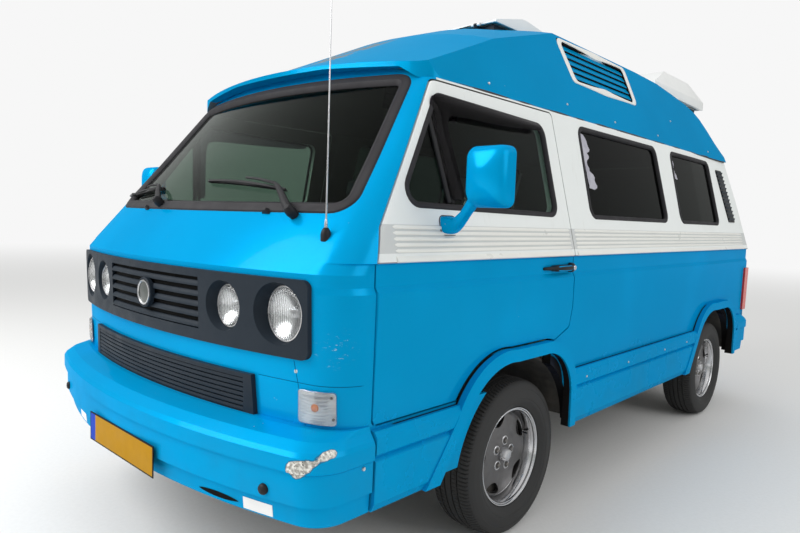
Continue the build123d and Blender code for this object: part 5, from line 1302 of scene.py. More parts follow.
    def aerial(self):
        """A whip aerial on a ball foot beside the windscreen."""
        low, _ = Skin("nose_panel").ahead(0.770, 1.231)
        length = (Vector((low.x, low.y, 2.128)) - low).z
        foot = Matrix.Translation(low)
        shape = Shape()
        shape.add(*turned([(0.0002, -0.018), (0.016, -0.016), (0.0165, 0.006), (0.013, 0.018), (0.007, 0.026),
                           (0.0002, 0.027)], 28, foot), 0)
        shape.add(*turned([(0.0052, 0.024), (0.0055, 0.036), (0.0040, 0.048), (0.0030, 0.052)], 20, foot), 1)
        rod = [(0.0030, 0.050), (0.0024, 0.35), (0.0018, 0.70), (0.0014, length - 0.004), (0.0002, length)]
        shape.add(*turned(rod, 12, foot), 1)
        shape.build("aerial", ["black_plastic", "bright_steel"], "body", smooth=45)


# Trim of the body

# Height of the door handles
HANDLE_Z = 1.105
# Grid of the curled window film
FILM_ROWS, FILM_COLUMNS = 22, 7
# Ribs pressed in the cladding under the windows
RIB_Z = (1.192, 1.2105, 1.229, 1.2475, 1.266)
RIB_SECTION = ((-0.0066, -0.0012), (-0.0060, 0.0012), (-0.0036, 0.0034), (0.0, 0.0041), (0.0036, 0.0034),
               (0.0060, 0.0012), (0.0066, -0.0012))
# The edge moulding at the belt
EDGE_SECTION = ((-0.0075, -0.0030), (-0.0078, 0.0018), (-0.0050, 0.0052), (0.0010, 0.0050), (0.0090, 0.0026),
                (0.0150, -0.0010))
# Panels with cladding: name, CAD node, body, side, front and rear end
CLADDING = (
    ("door_left", "door_left", "door_left", 1, -1.835, -0.700),
    ("door_right", "door_right", "door_right", -1, -1.835, -0.700),
    ("side_left", "side_left", "body", 1, -0.655, 2.020),
    ("slider", "sliding_door", "body", -1, -0.600, 0.610),
    ("side_right", "side_right", "body", -1, 0.655, 2.020),
)
# Door mirrors: outline of the glass and its plane, then the middle and half size of the foot on the door
MIRROR_CORNERS = oblong(1.041, 1.175, 1.343, 1.519)
MIRROR_REAR_Y = -1.598
MIRROR_FOOT = (-1.554, 1.2745, 0.0455, 0.0325)


def screw_head(place, normal, radius=0.0048, height=0.0018):
    """A cross-head screw: a low dome with a cross sunk in it."""
    stand = standing(place, normal)
    verts = []
    rings = ((0.12, 0.42), (0.40, 0.55), (0.75, 0.80), (1.0, 0.0), (1.0, -0.6))
    for scale, rise in rings:
        for k in range(16):
            turn = math.tau * k / 16
            dip = 0.45 if k % 4 == 0 and scale < 0.7 else 0.0
            verts.append(stand @ Vector((radius * scale * math.cos(turn), radius * scale * math.sin(turn),
                                         height * (rise + 0.4 * (scale < 0.8) - dip))))
    return verts, ring_faces(len(rings), 16, False) + [tuple(range(16))]


class CAMPER_OT_trim(bpy.types.Operator):
    """Fits the cladding's ribs, handles, mirrors, louvres, hatch lids, plugs, screws, seals and blank labels"""

    bl_idname = "camper.trim"
    bl_label = "Trim"

    def execute(self, context):
        for name, node, body, sign, start, end in CLADDING:
            self.cladding(name, Skin(node), body, sign, start, end)
        for sign, side in SIDES:
            self.handle(sign, side)
            self.mirror(sign, side)
            self.mirror_shell(sign, side)
            self.gutter(sign, side)
            self.roof_louvre(sign, side)
            self.vent(sign, side)
        self.lid("front_hatch")
        self.lid("rear_hatch")
        self.slider_handle()
        self.bumper_fittings()
        self.roof_fittings()
        self.film()
        return {"FINISHED"}

    def cladding(self, name, skin, body, sign, start, end):
        """Ribs along a panel and the edge moulding under them, clear of the mirror's foot."""
        shape = Shape()
        stations = [start, start + 0.012]
        step = (end - start - 0.024) / max(4, round((end - start) / 0.09))
        while stations[-1] + step * 1.001 < end:
            stations.append(stations[-1] + step)
        stations.append(end)
        for z, section, tip in [(z, RIB_SECTION, 0.25) for z in RIB_Z] + [(1.1625, EDGE_SECTION, 1.0)]:
            by_foot = z > 1.23 and body.startswith("door")
            places, normals = zip(*(skin.beside(sign, y, z) for y in stations
                                    if not (by_foot and abs(y - MIRROR_FOOT[0]) < 0.060)))
            across = (places[1] - places[0]).cross(normals[0])
            if across.z < 0 and section is EDGE_SECTION:
                section = tuple((-a, n) for a, n in reversed(section))
            verts, faces = sweep(places, normals, section, False)
            size = len(section)
            for i in list(range(size)) + list(range(len(verts) - size, len(verts))):
                j = 0 if i < size else len(places) - 1
                verts[i] = places[j] + (verts[i] - places[j]) * tip
            shape.add(verts, faces)
        shape.build(f"cladding_{name}", "cladding_white", body, smooth=50)

    def handle(self, sign, side):
        """A black lever with a round push button at its rear end."""
        rows = ((-0.936, 0.004, 0.006), (-0.930, 0.006, 0.012), (-0.900, 0.0065, 0.018), (-0.872, 0.0085, 0.026),
                (-0.862, 0.0125, 0.0345), (-0.800, 0.0130, 0.0355), (-0.740, 0.0130, 0.0355), (-0.732, 0.011, 0.033),
                (-0.726, 0.007, 0.026))
        base = 0.9105
        verts = []
        for y, half, out in rows:
            for a, n in mirrored(((-1.0, 0.0), (-1.0, 0.72), (-0.72, 0.93), (-0.3, 1.0))):
                verts.append((sign * (base - 0.001 + out * n), y, HANDLE_Z + half * a))
        shape = Shape().add(verts, solid_faces(len(rows), 8))
        centre = Vector((sign * base, -0.712, HANDLE_Z))
        boss = [(-0.002, 0.0215), (0.012, 0.0210), (0.020, 0.0190), (0.0225, 0.0150), (0.0225, 0.0125),
                (0.0180, 0.0118)]
        shape.add(*lathe(boss, 32, centre, sign, False), 0)
        button = [(0.0180, 0.0116), (0.0290, 0.0112), (0.0310, 0.0090), (0.0312, 0.0035), (0.0300, 0.0030),
                  (0.0298, 0.0002)]
        shape.add(*lathe(button, 28, centre, sign, False), 1)
        shape.build(f"door_handle_{side}", ["black_plastic", "bright_steel"], f"door_{side}", smooth=40)

    def slider_handle(self):
        """The recessed pull and lever of the sliding door."""
        skin = Skin("sliding_door")
        place, _ = skin.beside(-1, -0.520, HANDLE_Z)
        corners = round_outline(oblong(-0.085, 0.085, -0.026, 0.026), 0.016, 0.05, 4)
        rings = ((1.00, -0.004), (1.00, 0.006), (0.96, 0.009), (0.88, 0.009), (0.84, 0.004), (0.80, 0.003))
        verts = [(place.x - out, place.y + p[0] * scale, place.z + p[1] * scale)
                 for scale, out in rings for p in corners]
        shape = Shape().add(verts, capped_faces(len(rings), len(corners)))
        rows = ((-0.070, 0.006, 0.010), (-0.064, 0.010, 0.026), (0.040, 0.011, 0.030), (0.062, 0.010, 0.028),
                (0.070, 0.006, 0.016))
        section = mirrored(((-1.0, 0.1), (-1.0, 0.75), (-0.6, 1.0)))
        verts = [(place.x - out * n, place.y + y, place.z + half * a) for y, half, out in rows for a, n in section]
        shape.add(verts, solid_faces(len(rows), 6, True))
        shape.build("slider_handle", "black_plastic", "body", smooth=35)

    def mirror_shell(self, sign, side):
        """A soft shell over the mirror's head and arm, drawn smooth through their sections."""
        shape = Shape()
        rows = ((-1.5985, 1.0335, 1.1819, 1.3355, 1.5265, 0.026), (-1.6200, 1.0335, 1.1819, 1.3358, 1.5265, 0.027),
                (-1.6420, 1.0350, 1.1805, 1.3430, 1.5250, 0.029), (-1.6600, 1.0410, 1.1740, 1.3580, 1.5180, 0.030),
                (-1.6700, 1.0520, 1.1640, 1.3760, 1.5080, 0.033), (-1.6790, 1.0710, 1.1450, 1.4020, 1.4880, 0.034),
                (-1.6840, 1.0920, 1.1240, 1.4290, 1.4650, 0.014), (-1.6850, 1.1040, 1.1120, 1.4430, 1.4510, 0.003))
        verts, size = [], 28
        for y, x0, x1, z0, z1, corner in spline(rows, 3):
            for k in range(size):
                turn = math.pi / 2 * (k // 7 + (k % 7) / 6)
                right, over = k // 7 in (0, 3), k // 7 in (0, 1)
                verts.append((sign * ((x1 - corner if right else x0 + corner) + corner * math.cos(turn)), y,
                              (z1 - corner if over else z0 + corner) + corner * math.sin(turn)))
        shape.add(verts, capped_faces(len(verts) // size, size))
        arm = ((0.893, -1.552, 1.275, 0.047, 0.031), (0.912, -1.556, 1.274, 0.040, 0.028),
               (0.936, -1.566, 1.277, 0.028, 0.025), (0.962, -1.577, 1.290, 0.0225, 0.0240),
               (0.990, -1.592, 1.311, 0.0210, 0.0245), (1.020, -1.608, 1.336, 0.0210, 0.0255),
               (1.050, -1.624, 1.360, 0.0220, 0.0270), (1.068, -1.632, 1.378, 0.0120, 0.0150))
        verts, size = [], 24
        for x, y, z, half_y, half_z in spline(arm, 3):
            for k in range(size):
                c, d = math.cos(math.tau * k / size), math.sin(math.tau * k / size)
                verts.append((sign * x, y + half_y * math.copysign(abs(c) ** 0.7, c),
                              z + half_z * math.copysign(abs(d) ** 0.7, d)))
        shape.add(verts, ring_faces(len(verts) // size, size, False))
        shape.build(f"mirror_shell_{side}", "paint_two_tone", f"door_{side}", smooth=60)

    def mirror(self, sign, side):
        """The glass in its gasket, and the rubber pad under the arm's foot."""
        corners = [(sign * x, z) for x, z in MIRROR_CORNERS]
        body = f"door_{side}"
        size = len(round_outline(corners, 0.020, 0.03, 6))
        for part, finish, smooth, ease, rows in (
                ("gasket", "black_plastic", 30, 1.0,
                 ((0.004, -0.004), (0.004, 0.001), (0.001, 0.003), (-0.004, 0.003), (-0.006, 0.000))),
                ("glass", "mirror_glass", 20, 0.4, ((-0.0045, -0.001), (-0.0050, 0.0012), (-0.020, 0.0014)))):
            verts = [(p[0], MIRROR_REAR_Y + out, p[1]) for grow, out in rows
                     for p in round_outline(offset_outline(corners, grow), 0.020 + grow * ease, 0.03, 6)[:size]]
            faces = capped_faces(len(rows), size) if part == "glass" else ring_faces(len(rows), size, False)
            build(f"mirror_{part}_{side}", verts, faces, finish, body, smooth)
        y, z, half_y, half_z = MIRROR_FOOT
        path = round_outline(oblong(y - half_y, y + half_y, z - half_z, z + half_z), 0.020, 0.02, 5)
        places, normals = follow(Skin(body), [Vector((sign * 0.9345, p[0], p[1])) for p in path], (-sign, 0, 0))
        section = ((-0.0022, -0.002), (-0.0020, 0.0012), (0.0000, 0.0020), (0.0018, 0.0012), (0.0022, -0.002))
        build(f"mirror_pad_{side}", *sweep(places, normals, section), "seal_rubber", body, 30)

    def gutter(self, sign, side):
        """The uneven black bead between the roof moulding and the body."""
        roof = Skin("high_roof")
        places, normals = [], []
        for k in range(70):
            y = -1.380 + 3.27 * k / 69
            low, _ = roof.beside(sign, y, GUTTER_Z + 0.008)
            wave = 0.0018 * noise.noise(Vector((y * 9.0, sign * 3.0, 0.5)))
            places.append(Vector((low.x + sign * (0.0005 + wave), y, GUTTER_Z + 0.0005 + wave)))
            normals.append(Vector((sign * 0.97, 0, 0.24)).normalized())
        section = ((-0.0060, -0.006), (-0.0056, 0.0005), (-0.0026, 0.0026), (0.0022, 0.0024), (0.0052, 0.0004),
                   (0.0060, -0.006))
        build(f"gutter_bead_{side}", *sweep(places, normals, section, False), "sealant", "body", 50)

    def bumper_fittings(self):
        """Rubber plugs and side screws of the bumper, a black sheet of painted shade for the slot in its skirt, and two
        blank labels.
        """
        bumper = Skin("front_bumper")
        shape = Shape()
        for sign, side in SIDES:
            plug = [(0.0170, -0.002), (0.0170, 0.0040), (0.0150, 0.0085), (0.0100, 0.0120), (0.0002, 0.0130)]
            shape.add(*turned(plug, 28, standing(*bumper.ahead(sign * 0.750, 0.488))))
        shape.build("bumper_plugs", "black_plastic", "body", smooth=50)
        shape = Shape()
        for sign, side in SIDES:
            shape.add(*screw_head(*bumper.beside(sign, -1.973, 0.545, FAR_OUT), 0.0075, 0.003))
            skirt = Skin("sill_skirts")
            for y in (-0.56, -0.10, 0.40, 0.76):
                shape.add(*screw_head(*skirt.beside(sign, y, 0.600, FAR_OUT), 0.0060, 0.0025))
        shape.build("skirt_screws", "bright_steel", "body", smooth=40)
        # The slot is not cut: a thin black sheet on the skirt is painted shade where the slot is.
        slot = []
        for k in range(13):
            part = k / 12
            x, z = 0.455 + 0.175 * part, 0.411
            half = 0.0005 + 0.0085 * math.sin(math.pi * part) ** 0.7
            for end in (-half, half):
                place, _ = bumper.ahead(x, z + end)
                slot.append(place + Vector((0, -0.0012, 0)))
        build("skirt_slot", slot, [(2 * k, 2 * k + 2, 2 * k + 3, 2 * k + 1) for k in range(12)], "dark_gap", "body", 0,
              modifiers=(("SOLIDIFY", {"thickness": 0.0008, "offset": 0.0}),))
        for name, x0, x1, z0, z1 in (("left", 0.650, 0.762, 0.397, 0.434), ("right", -0.560, -0.455, 0.399, 0.432)):
            grid = []
            for i in range(9):
                for j in range(5):
                    place, normal = bumper.ahead(x0 + (x1 - x0) * i / 8, z0 + (z1 - z0) * j / 4)
                    grid.append(place + normal * 0.0009)
            build(f"blank_label_{name}", grid, ring_faces(9, 5, False, False), "blank_label", "body", 30,
                  modifiers=(("SOLIDIFY", {"thickness": 0.0005, "offset": 0.0}),))

    def roof_fittings(self):
        """Screws along the roof moulding, and the two small lamps at its rear."""
        roof = Skin("high_roof")
        shape = Shape()
        for sign, side in SIDES:
            for y, z in ((-0.495, 1.861), (0.62, 1.846), (0.95, 1.98), (1.55, 1.843), (-1.15, 1.842), (0.02, 1.845)):
                shape.add(*screw_head(*roof.beside(sign, y, z, FAR_OUT), 0.0062, 0.0028))
        shape.build("roof_screws", "bright_steel", "body", smooth=40)
        shape = Shape()
        for sign, side in SIDES:
            stand = standing(*roof.meet((sign * 0.52, 2.6, 1.93), (0, -1, 0)))
            pill = round_outline(oblong(-0.045, 0.045, -0.016, 0.016), 0.013, 0.05, 4)
            rings = ((1.0, -0.006), (1.0, 0.012), (0.94, 0.020), (0.80, 0.024), (0.45, 0.026))
            verts = [stand @ Vector((p[0] * k, p[1] * k, out)) for k, out in rings for p in pill]
            shape.add(verts, capped_faces(len(rings), len(pill)))
        shape.build("roof_marker_lamps", "hatch_plastic", "body", smooth=40)

    def lid(self, node):
        """A moulded roof lid with rounded edges and a flange round its foot."""
        build(f"{node}_lid", *merged(node, 4), "hatch_plastic", node, 50, (node,),
              (("WELD", {"merge_threshold": 0.0004}), ("DECIMATE", {"decimate_type": "DISSOLVE", "angle_limit": 0.02}),
               ("BEVEL", {"width": 0.007, "segments": 3, "angle_limit": math.radians(18)})))

    def roof_louvre(self, sign, side):
        """A white frame with round corners, and five sloping blades in it."""
        roof = Skin("high_roof", "roof_louvres")
        frame_corners = ((-0.390, 2.220), (0.410, 2.220), (0.428, 2.000), (-0.334, 2.000))
        outer = round_outline(frame_corners, 0.034, 0.03, 6)
        outer = outer[::-1] if sign > 0 else outer
        middle = sum((Vector(p) for p in outer), Vector((0, 0))) / len(outer)
        starts = [(sign * OUTSIDE, *(middle + (Vector(p) - middle) * 0.985)) for p in outer]
        places, normals = follow(Skin("roof_louvres"), starts, (-sign, 0, 0))
        rings = ((-0.012, -0.008), (-0.012, 0.0020), (-0.009, 0.0046), (0.016, 0.0046), (0.020, 0.0020),
                 (0.021, -0.0150))
        verts = []
        heart = sum(places, Vector()) / len(places)
        for inset, out in rings:
            for place, normal in zip(places, normals):
                towards = heart - place
                towards -= normal * towards.dot(normal)
                verts.append(place + towards.normalized() * inset * 1.25 + normal * out)
        faces = ring_faces(len(rings), len(outer), False)
        build(f"louvre_frame_{side}", verts, faces, "cladding_white", "body", 40)
        shape = Shape()
        for k in range(5):
            z = 2.034 + 0.0355 * k
            y0, y1 = -0.318 - (z - 2.022) * 0.303 + 0.004, 0.392 - (z - 2.022) * 0.112 - 0.004
            path = [roof.beside(sign, y0 + (y1 - y0) * j / 12, z)[0] for j in range(13)]
            across = max(abs(p.x) for p in path)
            section = ((-0.017, 0.0145), (0.0030, -0.0085), (0.0055, -0.0078), (0.0052, -0.0040), (-0.012, 0.0190))
            verts = [(sign * (across + out), point.y, z + up) for point in path for out, up in section]
            shape.add(verts, solid_faces(len(path), len(section)))
        shape.build(f"louvre_blades_{side}", "paint_roof", "body", smooth=30)

    def vent(self, sign, side):
        """Sloping slats down the air vent in the rear pillar."""
        skin = Skin("pillar_vents")
        shape = Shape()
        for k in range(14):
            z = 1.372 + 0.0275 * k
            row = []
            for j in range(120):
                start = Vector((sign * OUTSIDE, 1.55 + 0.0035 * j, z))
                place, normal, _, _ = skin.tree.ray_cast(start, Vector((-sign, 0, 0)), 0.30)
                if place is not None and sign * normal.x > 0.5:
                    row.append(place)
            if len(row) < 8:
                continue
            path = [row[1].lerp(row[-2], t / 4) for t in range(5)]
            out = Vector((sign, 0, 0.2)).normalized()
            section = ((-0.0070, -0.002), (-0.0080, 0.0075), (-0.0060, 0.0085), (0.0070, 0.0020), (0.0080, -0.002))
            shape.add(*sweep(path if sign > 0 else path[::-1], [out] * 5, section, False))
        shape.build(f"vent_slats_{side}", "charcoal_plastic", "body", smooth=30)

    def film(self):
        """Sun film that curls away from the front edge of the side window."""
        glass = Skin("fixed_glass")
        for name, y0, z_top, z_low, width, seed in (("long", -0.425, 1.735, 1.470, 0.085, 2.0),
                                                    ("short", 0.775, 1.720, 1.600, 0.040, 7.0)):
            grid = []
            for i in range(FILM_ROWS):
                part = i / (FILM_ROWS - 1)
                z = z_top + (z_low - z_top) * part
                ragged = 0.5 + 0.75 * abs(noise.noise(Vector((part * 6.0, seed, 0.0)))) + 0.25 * math.sin(part * 9)
                for j in range(FILM_COLUMNS):
                    side = j / (FILM_COLUMNS - 1)
                    y = y0 + width * side * ragged + 0.018 * part
                    place, normal = glass.beside(1, y, z - 0.010 * side * ragged)
                    lift = 0.0012 + 0.004 * abs(noise.noise(Vector((part * 9.0, side * 3.0, seed))))
                    grid.append(place + normal * lift)
            faces = ring_faces(FILM_ROWS, FILM_COLUMNS, False, False)
            build(f"loose_film_{name}", grid, faces, "peeled_film", "body", 50,
                  modifiers=(("SOLIDIFY", {"thickness": 0.0003, "offset": 0.0}),))


# Wheels

WHEELS = (("front_left", 1), ("front_right", -1), ("rear_left", 1), ("rear_right", -1))
# Depth of the sipes as a share of the tread, for the kinds of place on the tyre's profile: 2 is
# the tread's ribs and 3 the shoulder; and how far the sipes slant
SIPES, SIPE_SLANT = {2: 0.70, 3: 0.15}, 0.25
# Windows in a rim, and how they and the nuts are turned from the upright
RIM_WINDOWS, WINDOW_TURN, NUT_TURN, NUT_RADIUS = 5, math.radians(32), math.radians(9), 0.056


class CAMPER_OT_wheels(bpy.types.Operator):
    """Makes the tyres with their tread, and the cast rims with nuts and caps"""

    bl_idname = "camper.wheels"
    bl_label = "Wheels"

    def execute(self, context):
        settings = context.scene.camper_wheels
        cutter = self.hole_cutter()
        for place, out in WHEELS:
            centre = middle_of(f"tyre_{place}")
            self.tyre(place, centre, out, settings)
            self.rim(place, centre, out, settings, cutter)
        bpy.data.objects.remove(cutter)
        return {"FINISHED"}

    def tyre(self, place, centre, out, settings):
        """Rib tread with cross sipes, ringed walls and a rim guard."""
        depth = settings.tread_depth
        half = [(0.000, 0.3248, 0), (0.012, 0.3248, 0), (0.013, 0.3248 - depth, 1), (0.018, 0.3248 - depth, 1),
                (0.019, 0.3246, 0), (0.040, 0.3238, 2), (0.041, 0.3238 - depth, 1), (0.046, 0.3236 - depth, 1),
                (0.047, 0.3234, 0), (0.058, 0.3222, 2), (0.070, 0.3195, 2), (0.080, 0.3155, 2), (0.088, 0.3095, 3),
                (0.093, 0.3030, 3), (0.0955, 0.2960, 0), (0.0985, 0.2860, 0), (0.0990, 0.2845, 0), (0.0978, 0.2835, 0),
                (0.0990, 0.2760, 0), (0.1010, 0.2650, 0), (0.1020, 0.2560, 0), (0.1022, 0.2500, 0), (0.1010, 0.2440, 0),
                (0.0995, 0.2425, 0), (0.1000, 0.2400, 0), (0.0980, 0.2330, 0), (0.0940, 0.2260, 0),
                (0.0880, 0.2180, 0), (0.0860, 0.2120, 0), (0.0820, 0.2075, 0), (0.0745, 0.2060, 0)]
        profile = [(-r, h, kind) for r, h, kind in reversed(half[1:])] + half
        turns = settings.blocks * 4
        verts = []
        for i in range(turns):
            turn = math.tau * i / turns
            cut = i % 4 == 0
            for reach, radius, kind in profile:
                if cut:
                    radius -= depth * SIPES.get(kind, 0.0)
                angle = turn + (abs(reach) * SIPE_SLANT if kind == 2 else 0.0)
                verts.append((centre.x + out * reach, centre.y + radius * math.cos(angle),
                              centre.z + radius * math.sin(angle)))
        faces = ring_faces(turns, len(profile), True, False)
        build(f"road_tyre_{place}", verts, faces, "tyre_rubber", f"wheel_{place}", 28, replaces=(f"tyre_{place}",))

    def hole_cutter(self):
        """Five sickle shaped windows, standing along the axle."""
        shape = Shape()
        for k in range(RIM_WINDOWS):
            turn = math.tau * k / RIM_WINDOWS + WINDOW_TURN
            edge = [(0.1655, -0.27), (0.1675, -0.14), (0.1680, 0.0), (0.1675, 0.14), (0.1655, 0.27), (0.158, 0.295),
                    (0.147, 0.265), (0.134, 0.185), (0.125, 0.085), (0.1225, 0.0), (0.125, -0.085), (0.134, -0.185),
                    (0.147, -0.265), (0.158, -0.295)]
            ring = [(radius * math.cos(turn + a), radius * math.sin(turn + a)) for radius, a in edge]
            verts = [(x, y, z) for x in (-0.20, 0.20) for y, z in ring]
            shape.add(verts, solid_faces(2, len(ring)))
        return plain("cutter", shape.verts, shape.faces)

    def rim(self, place, centre, out, settings, cutter):
        """A cast face with its windows cut and softened, the brake drum behind it and the turned lip."""
        face = [(0.0215, 0.1765), (0.027, 0.1735), (0.0310, 0.168), (0.0330, 0.158), (0.0350, 0.120),
                (0.0370, 0.085), (0.0385, 0.066), (0.0400, 0.050), (0.0400, 0.0305)]
        back = [(0.0200, 0.0305), (0.0200, 0.085), (0.0210, 0.150), (0.0130, 0.1700)]
        disc = plain("disc", *lathe(face + back, 120, (0, 0, 0)))
        modify(disc, (("BOOLEAN", {"operation": "DIFFERENCE", "solver": "EXACT", "object": cutter}),
                      ("BEVEL", {"width": 0.0012, "segments": 2, "limit_method": "ANGLE",
                                 "angle_limit": math.radians(50)})))
        bpy.context.view_layer.update()
        cut = bpy.data.meshes.new_from_object(disc.evaluated_get(bpy.context.evaluated_depsgraph_get()))
        bpy.data.objects.remove(disc)
        stand = Matrix.Translation(centre) @ Matrix.Scale(out, 4, (1, 0, 0))
        shape = Shape().add([stand @ v.co for v in cut.vertices], [tuple(p.vertices) for p in cut.polygons])
        shape.build(f"rim_face_{place}", "alloy_face", f"wheel_{place}", smooth=30, replaces=(f"rim_{place}",))
        drum = [(0.000, 0.0300), (0.008, 0.0300), (0.012, 0.1200), (0.006, 0.1690), (0.000, 0.1690)]
        build(f"brake_drum_{place}", *lathe(drum, 64, centre, out), "drum_iron", f"wheel_{place}", 40)
        lip = [(0.0130, 0.1700), (0.0215, 0.1765), (0.024, 0.1790), (0.034, 0.1815), (0.048, 0.1840), (0.060, 0.1875),
               (0.068, 0.1925), (0.0735, 0.1962), (0.077, 0.1975), (0.0795, 0.1995), (0.0797, 0.2030), (0.0780, 0.2048),
               (0.0745, 0.2046), (0.0730, 0.1925), (0.058, 0.1905), (0.040, 0.1865), (-0.040, 0.1820),
               (-0.060, 0.1920), (-0.0735, 0.1925), (-0.0745, 0.2046), (-0.0795, 0.2030), (-0.0795, 0.1960),
               (-0.060, 0.1850), (-0.040, 0.1765), (0.0, 0.1740)]
        build(f"rim_lip_{place}", *lathe(lip, 144, centre, out), "alloy_lip", f"wheel_{place}", 30)
        self.fasteners(place, centre, out, settings)

    def fasteners(self, place, centre, out, settings):
        """Nuts in their wells, the centre cap and the tyre valve."""
        shape = Shape()
        for k in range(settings.nuts):
            turn = math.tau * k / settings.nuts + NUT_TURN
            nut_centre = centre + Vector((0, NUT_RADIUS * math.cos(turn), NUT_RADIUS * math.sin(turn)))
            well = [(0.0360, 0.0150), (0.0408, 0.0155), (0.0412, 0.0180), (0.0385, 0.0205)]
            shape.add(*lathe(well, 24, nut_centre, out, False), 1)
            nut = [(0.0350, 0.0098), (0.0455, 0.0098), (0.0480, 0.0082), (0.0495, 0.0050), (0.0495, 0.0001)]
            shape.add(*lathe(nut, 6, nut_centre, out, False), 0)
        cap = [(0.0385, 0.0310), (0.0440, 0.0308), (0.0500, 0.0290), (0.0580, 0.0270), (0.0640, 0.0235),
               (0.0665, 0.0180), (0.0672, 0.0100), (0.0675, 0.0002)]
        shape.add(*lathe(cap, 40, centre, out, False), 1)
        stem = [centre + Vector((out * 0.030, 0.1640, 0.055)), centre + Vector((out * 0.052, 0.1610, 0.054))]
        shape.add(*tube(stem, 0.0035, 8), 2)
        shape.build(f"rim_nuts_{place}", ["dull_steel", "bright_steel", "black_plastic"], f"wheel_{place}", smooth=30)


# Tail

TAIL_HANDLE_Z, TAIL_HANDLE_HALF = 0.872, 0.285


class CAMPER_OT_tail(bpy.types.Operator):
    """Fits the tailgate's handle, wiper and plate lamps, and the screws of the tail lamps"""

    bl_idname = "camper.tail"
    bl_label = "Tail"

    def execute(self, context):
        self.handle(Skin("tailgate"))
        self.wiper(Skin("tailgate_glass", "tailgate"))
        shape = Shape()
        lamps = Skin("tail_lamps")
        for sign, side in SIDES:
            for z in (0.715, 0.985):
                shape.add(*screw_head(*lamps.behind(sign * 0.80, z), 0.0055, 0.0022))
        shape.build("tail_lamp_screws", "dull_steel", "body", smooth=40)
        return {"FINISHED"}

    def handle(self, gate):
        """A wide grip over the number plate, with its lock and two lamps for the plate."""
        place, _ = gate.behind(0.0, TAIL_HANDLE_Z)
        rows = []
        for k in range(15):
            x = -TAIL_HANDLE_HALF + 2 * TAIL_HANDLE_HALF * k / 14
            end = min(1.0, (TAIL_HANDLE_HALF - abs(x)) / 0.05 + 0.35)
            rows.append((x, end))
        section = ((0.000, 0.030), (0.018, 0.028), (0.030, 0.018), (0.034, 0.000), (0.030, -0.014), (0.012, -0.020),
                   (0.000, -0.020))
        verts = [(x, place.y - 0.003 + out * end, TAIL_HANDLE_Z + up * end) for x, end in rows for out, up in section]
        shape = Shape().add(verts, solid_faces(len(rows), len(section)))
        stand = Matrix.Translation((0.0, place.y + 0.030, 0.876)) @ Matrix.Rotation(-math.pi / 2, 4, "X")
        shape.add(*turned([(0.0150, -0.002), (0.0150, 0.006), (0.0130, 0.009), (0.0060, 0.009), (0.0050, 0.006),
                           (0.0002, 0.006)], 28, stand), 1)
        for x in (-0.150, 0.150):
            shape.add(*slab(x - 0.028, x + 0.028, place.y + 0.004, place.y + 0.026, 0.8485, 0.8545), 2)
        shape.build("tail_handle", ["black_plastic", "bright_steel", "clear_lens"], "tailgate", smooth=40)

    def wiper(self, glass):
        """The rear wiper: an arm on its boss, and a blade across the glass."""
        path = [(0.060, 1.262, 0.030), (0.040, 1.300, 0.034), (0.000, 1.350, 0.034), (-0.080, 1.400, 0.026),
                (-0.180, 1.438, 0.020)]
        points = []
        for x, z, out in path:
            place, normal = glass.behind(x, z)
            points.append(place + normal * out)
        shape = Shape().add(*tube(points, 0.0055, 8))
        boss = [(0.019, -0.003), (0.019, 0.010), (0.016, 0.030), (0.010, 0.038), (0.0002, 0.040)]
        shape.add(*turned(boss, 24, standing(*glass.behind(0.060, 1.262))))
        places, outs = zip(*(glass.behind(-0.330 + 0.040 * k, 1.395 + 0.0095 * k) for k in range(9)))
        low = [place + normal * 0.010 for place, normal in zip(places, outs)]
        section = mirrored(((-0.0012, -0.0095), (-0.0045, -0.002), (-0.0045, 0.004)))
        shape.add(*sweep(low, outs, section, False))
        shape.build("tail_wiper", "black_plastic", "tailgate", smooth=40)


# Cabin

# The line that the front seats' backs lean about, along and up, and their lean
FRONT_BACK_FOOT, FRONT_BACK_LEAN = (-0.895, 0.965), math.radians(-13.0)
# Cushions: name, low and high corner before they swell, and places of the sewn channels across the width
BENCH_CUSHIONS = (
    ("bench_seat_left", (0.008, 0.532, 0.794), (0.552, 0.960, 0.893), (0.28,)),
    ("bench_seat_right", (-0.552, 0.532, 0.794), (-0.008, 0.960, 0.893), (-0.28,)),
    ("bench_back_left", (0.008, 1.016, 0.806), (0.630, 1.104, 1.322), (0.32,)),
    ("bench_back_right", (-0.630, 1.016, 0.806), (-0.008, 1.104, 1.322), (-0.32,)),
    ("mattress_left", (0.008, 1.126, 0.805), (0.630, 2.072, 0.890), ()),
    ("mattress_right", (-0.630, 1.126, 0.805), (-0.008, 2.072, 0.890), ()),
)


# Cushions: inset before they swell, the most that the cloth moves, rise of the crown and draw of the corners
CUSHION_INSET, SWELL_CAP, CROWN, DRAW = 0.006, 0.014, 0.006, 0.007
# Sewn channels: half width, depth, length of their ends, and closeness of the puckers
CHANNEL_HALF, CHANNEL_DEPTH, CHANNEL_END, PUCKERS = 0.007, 0.0075, 0.03, 520.0


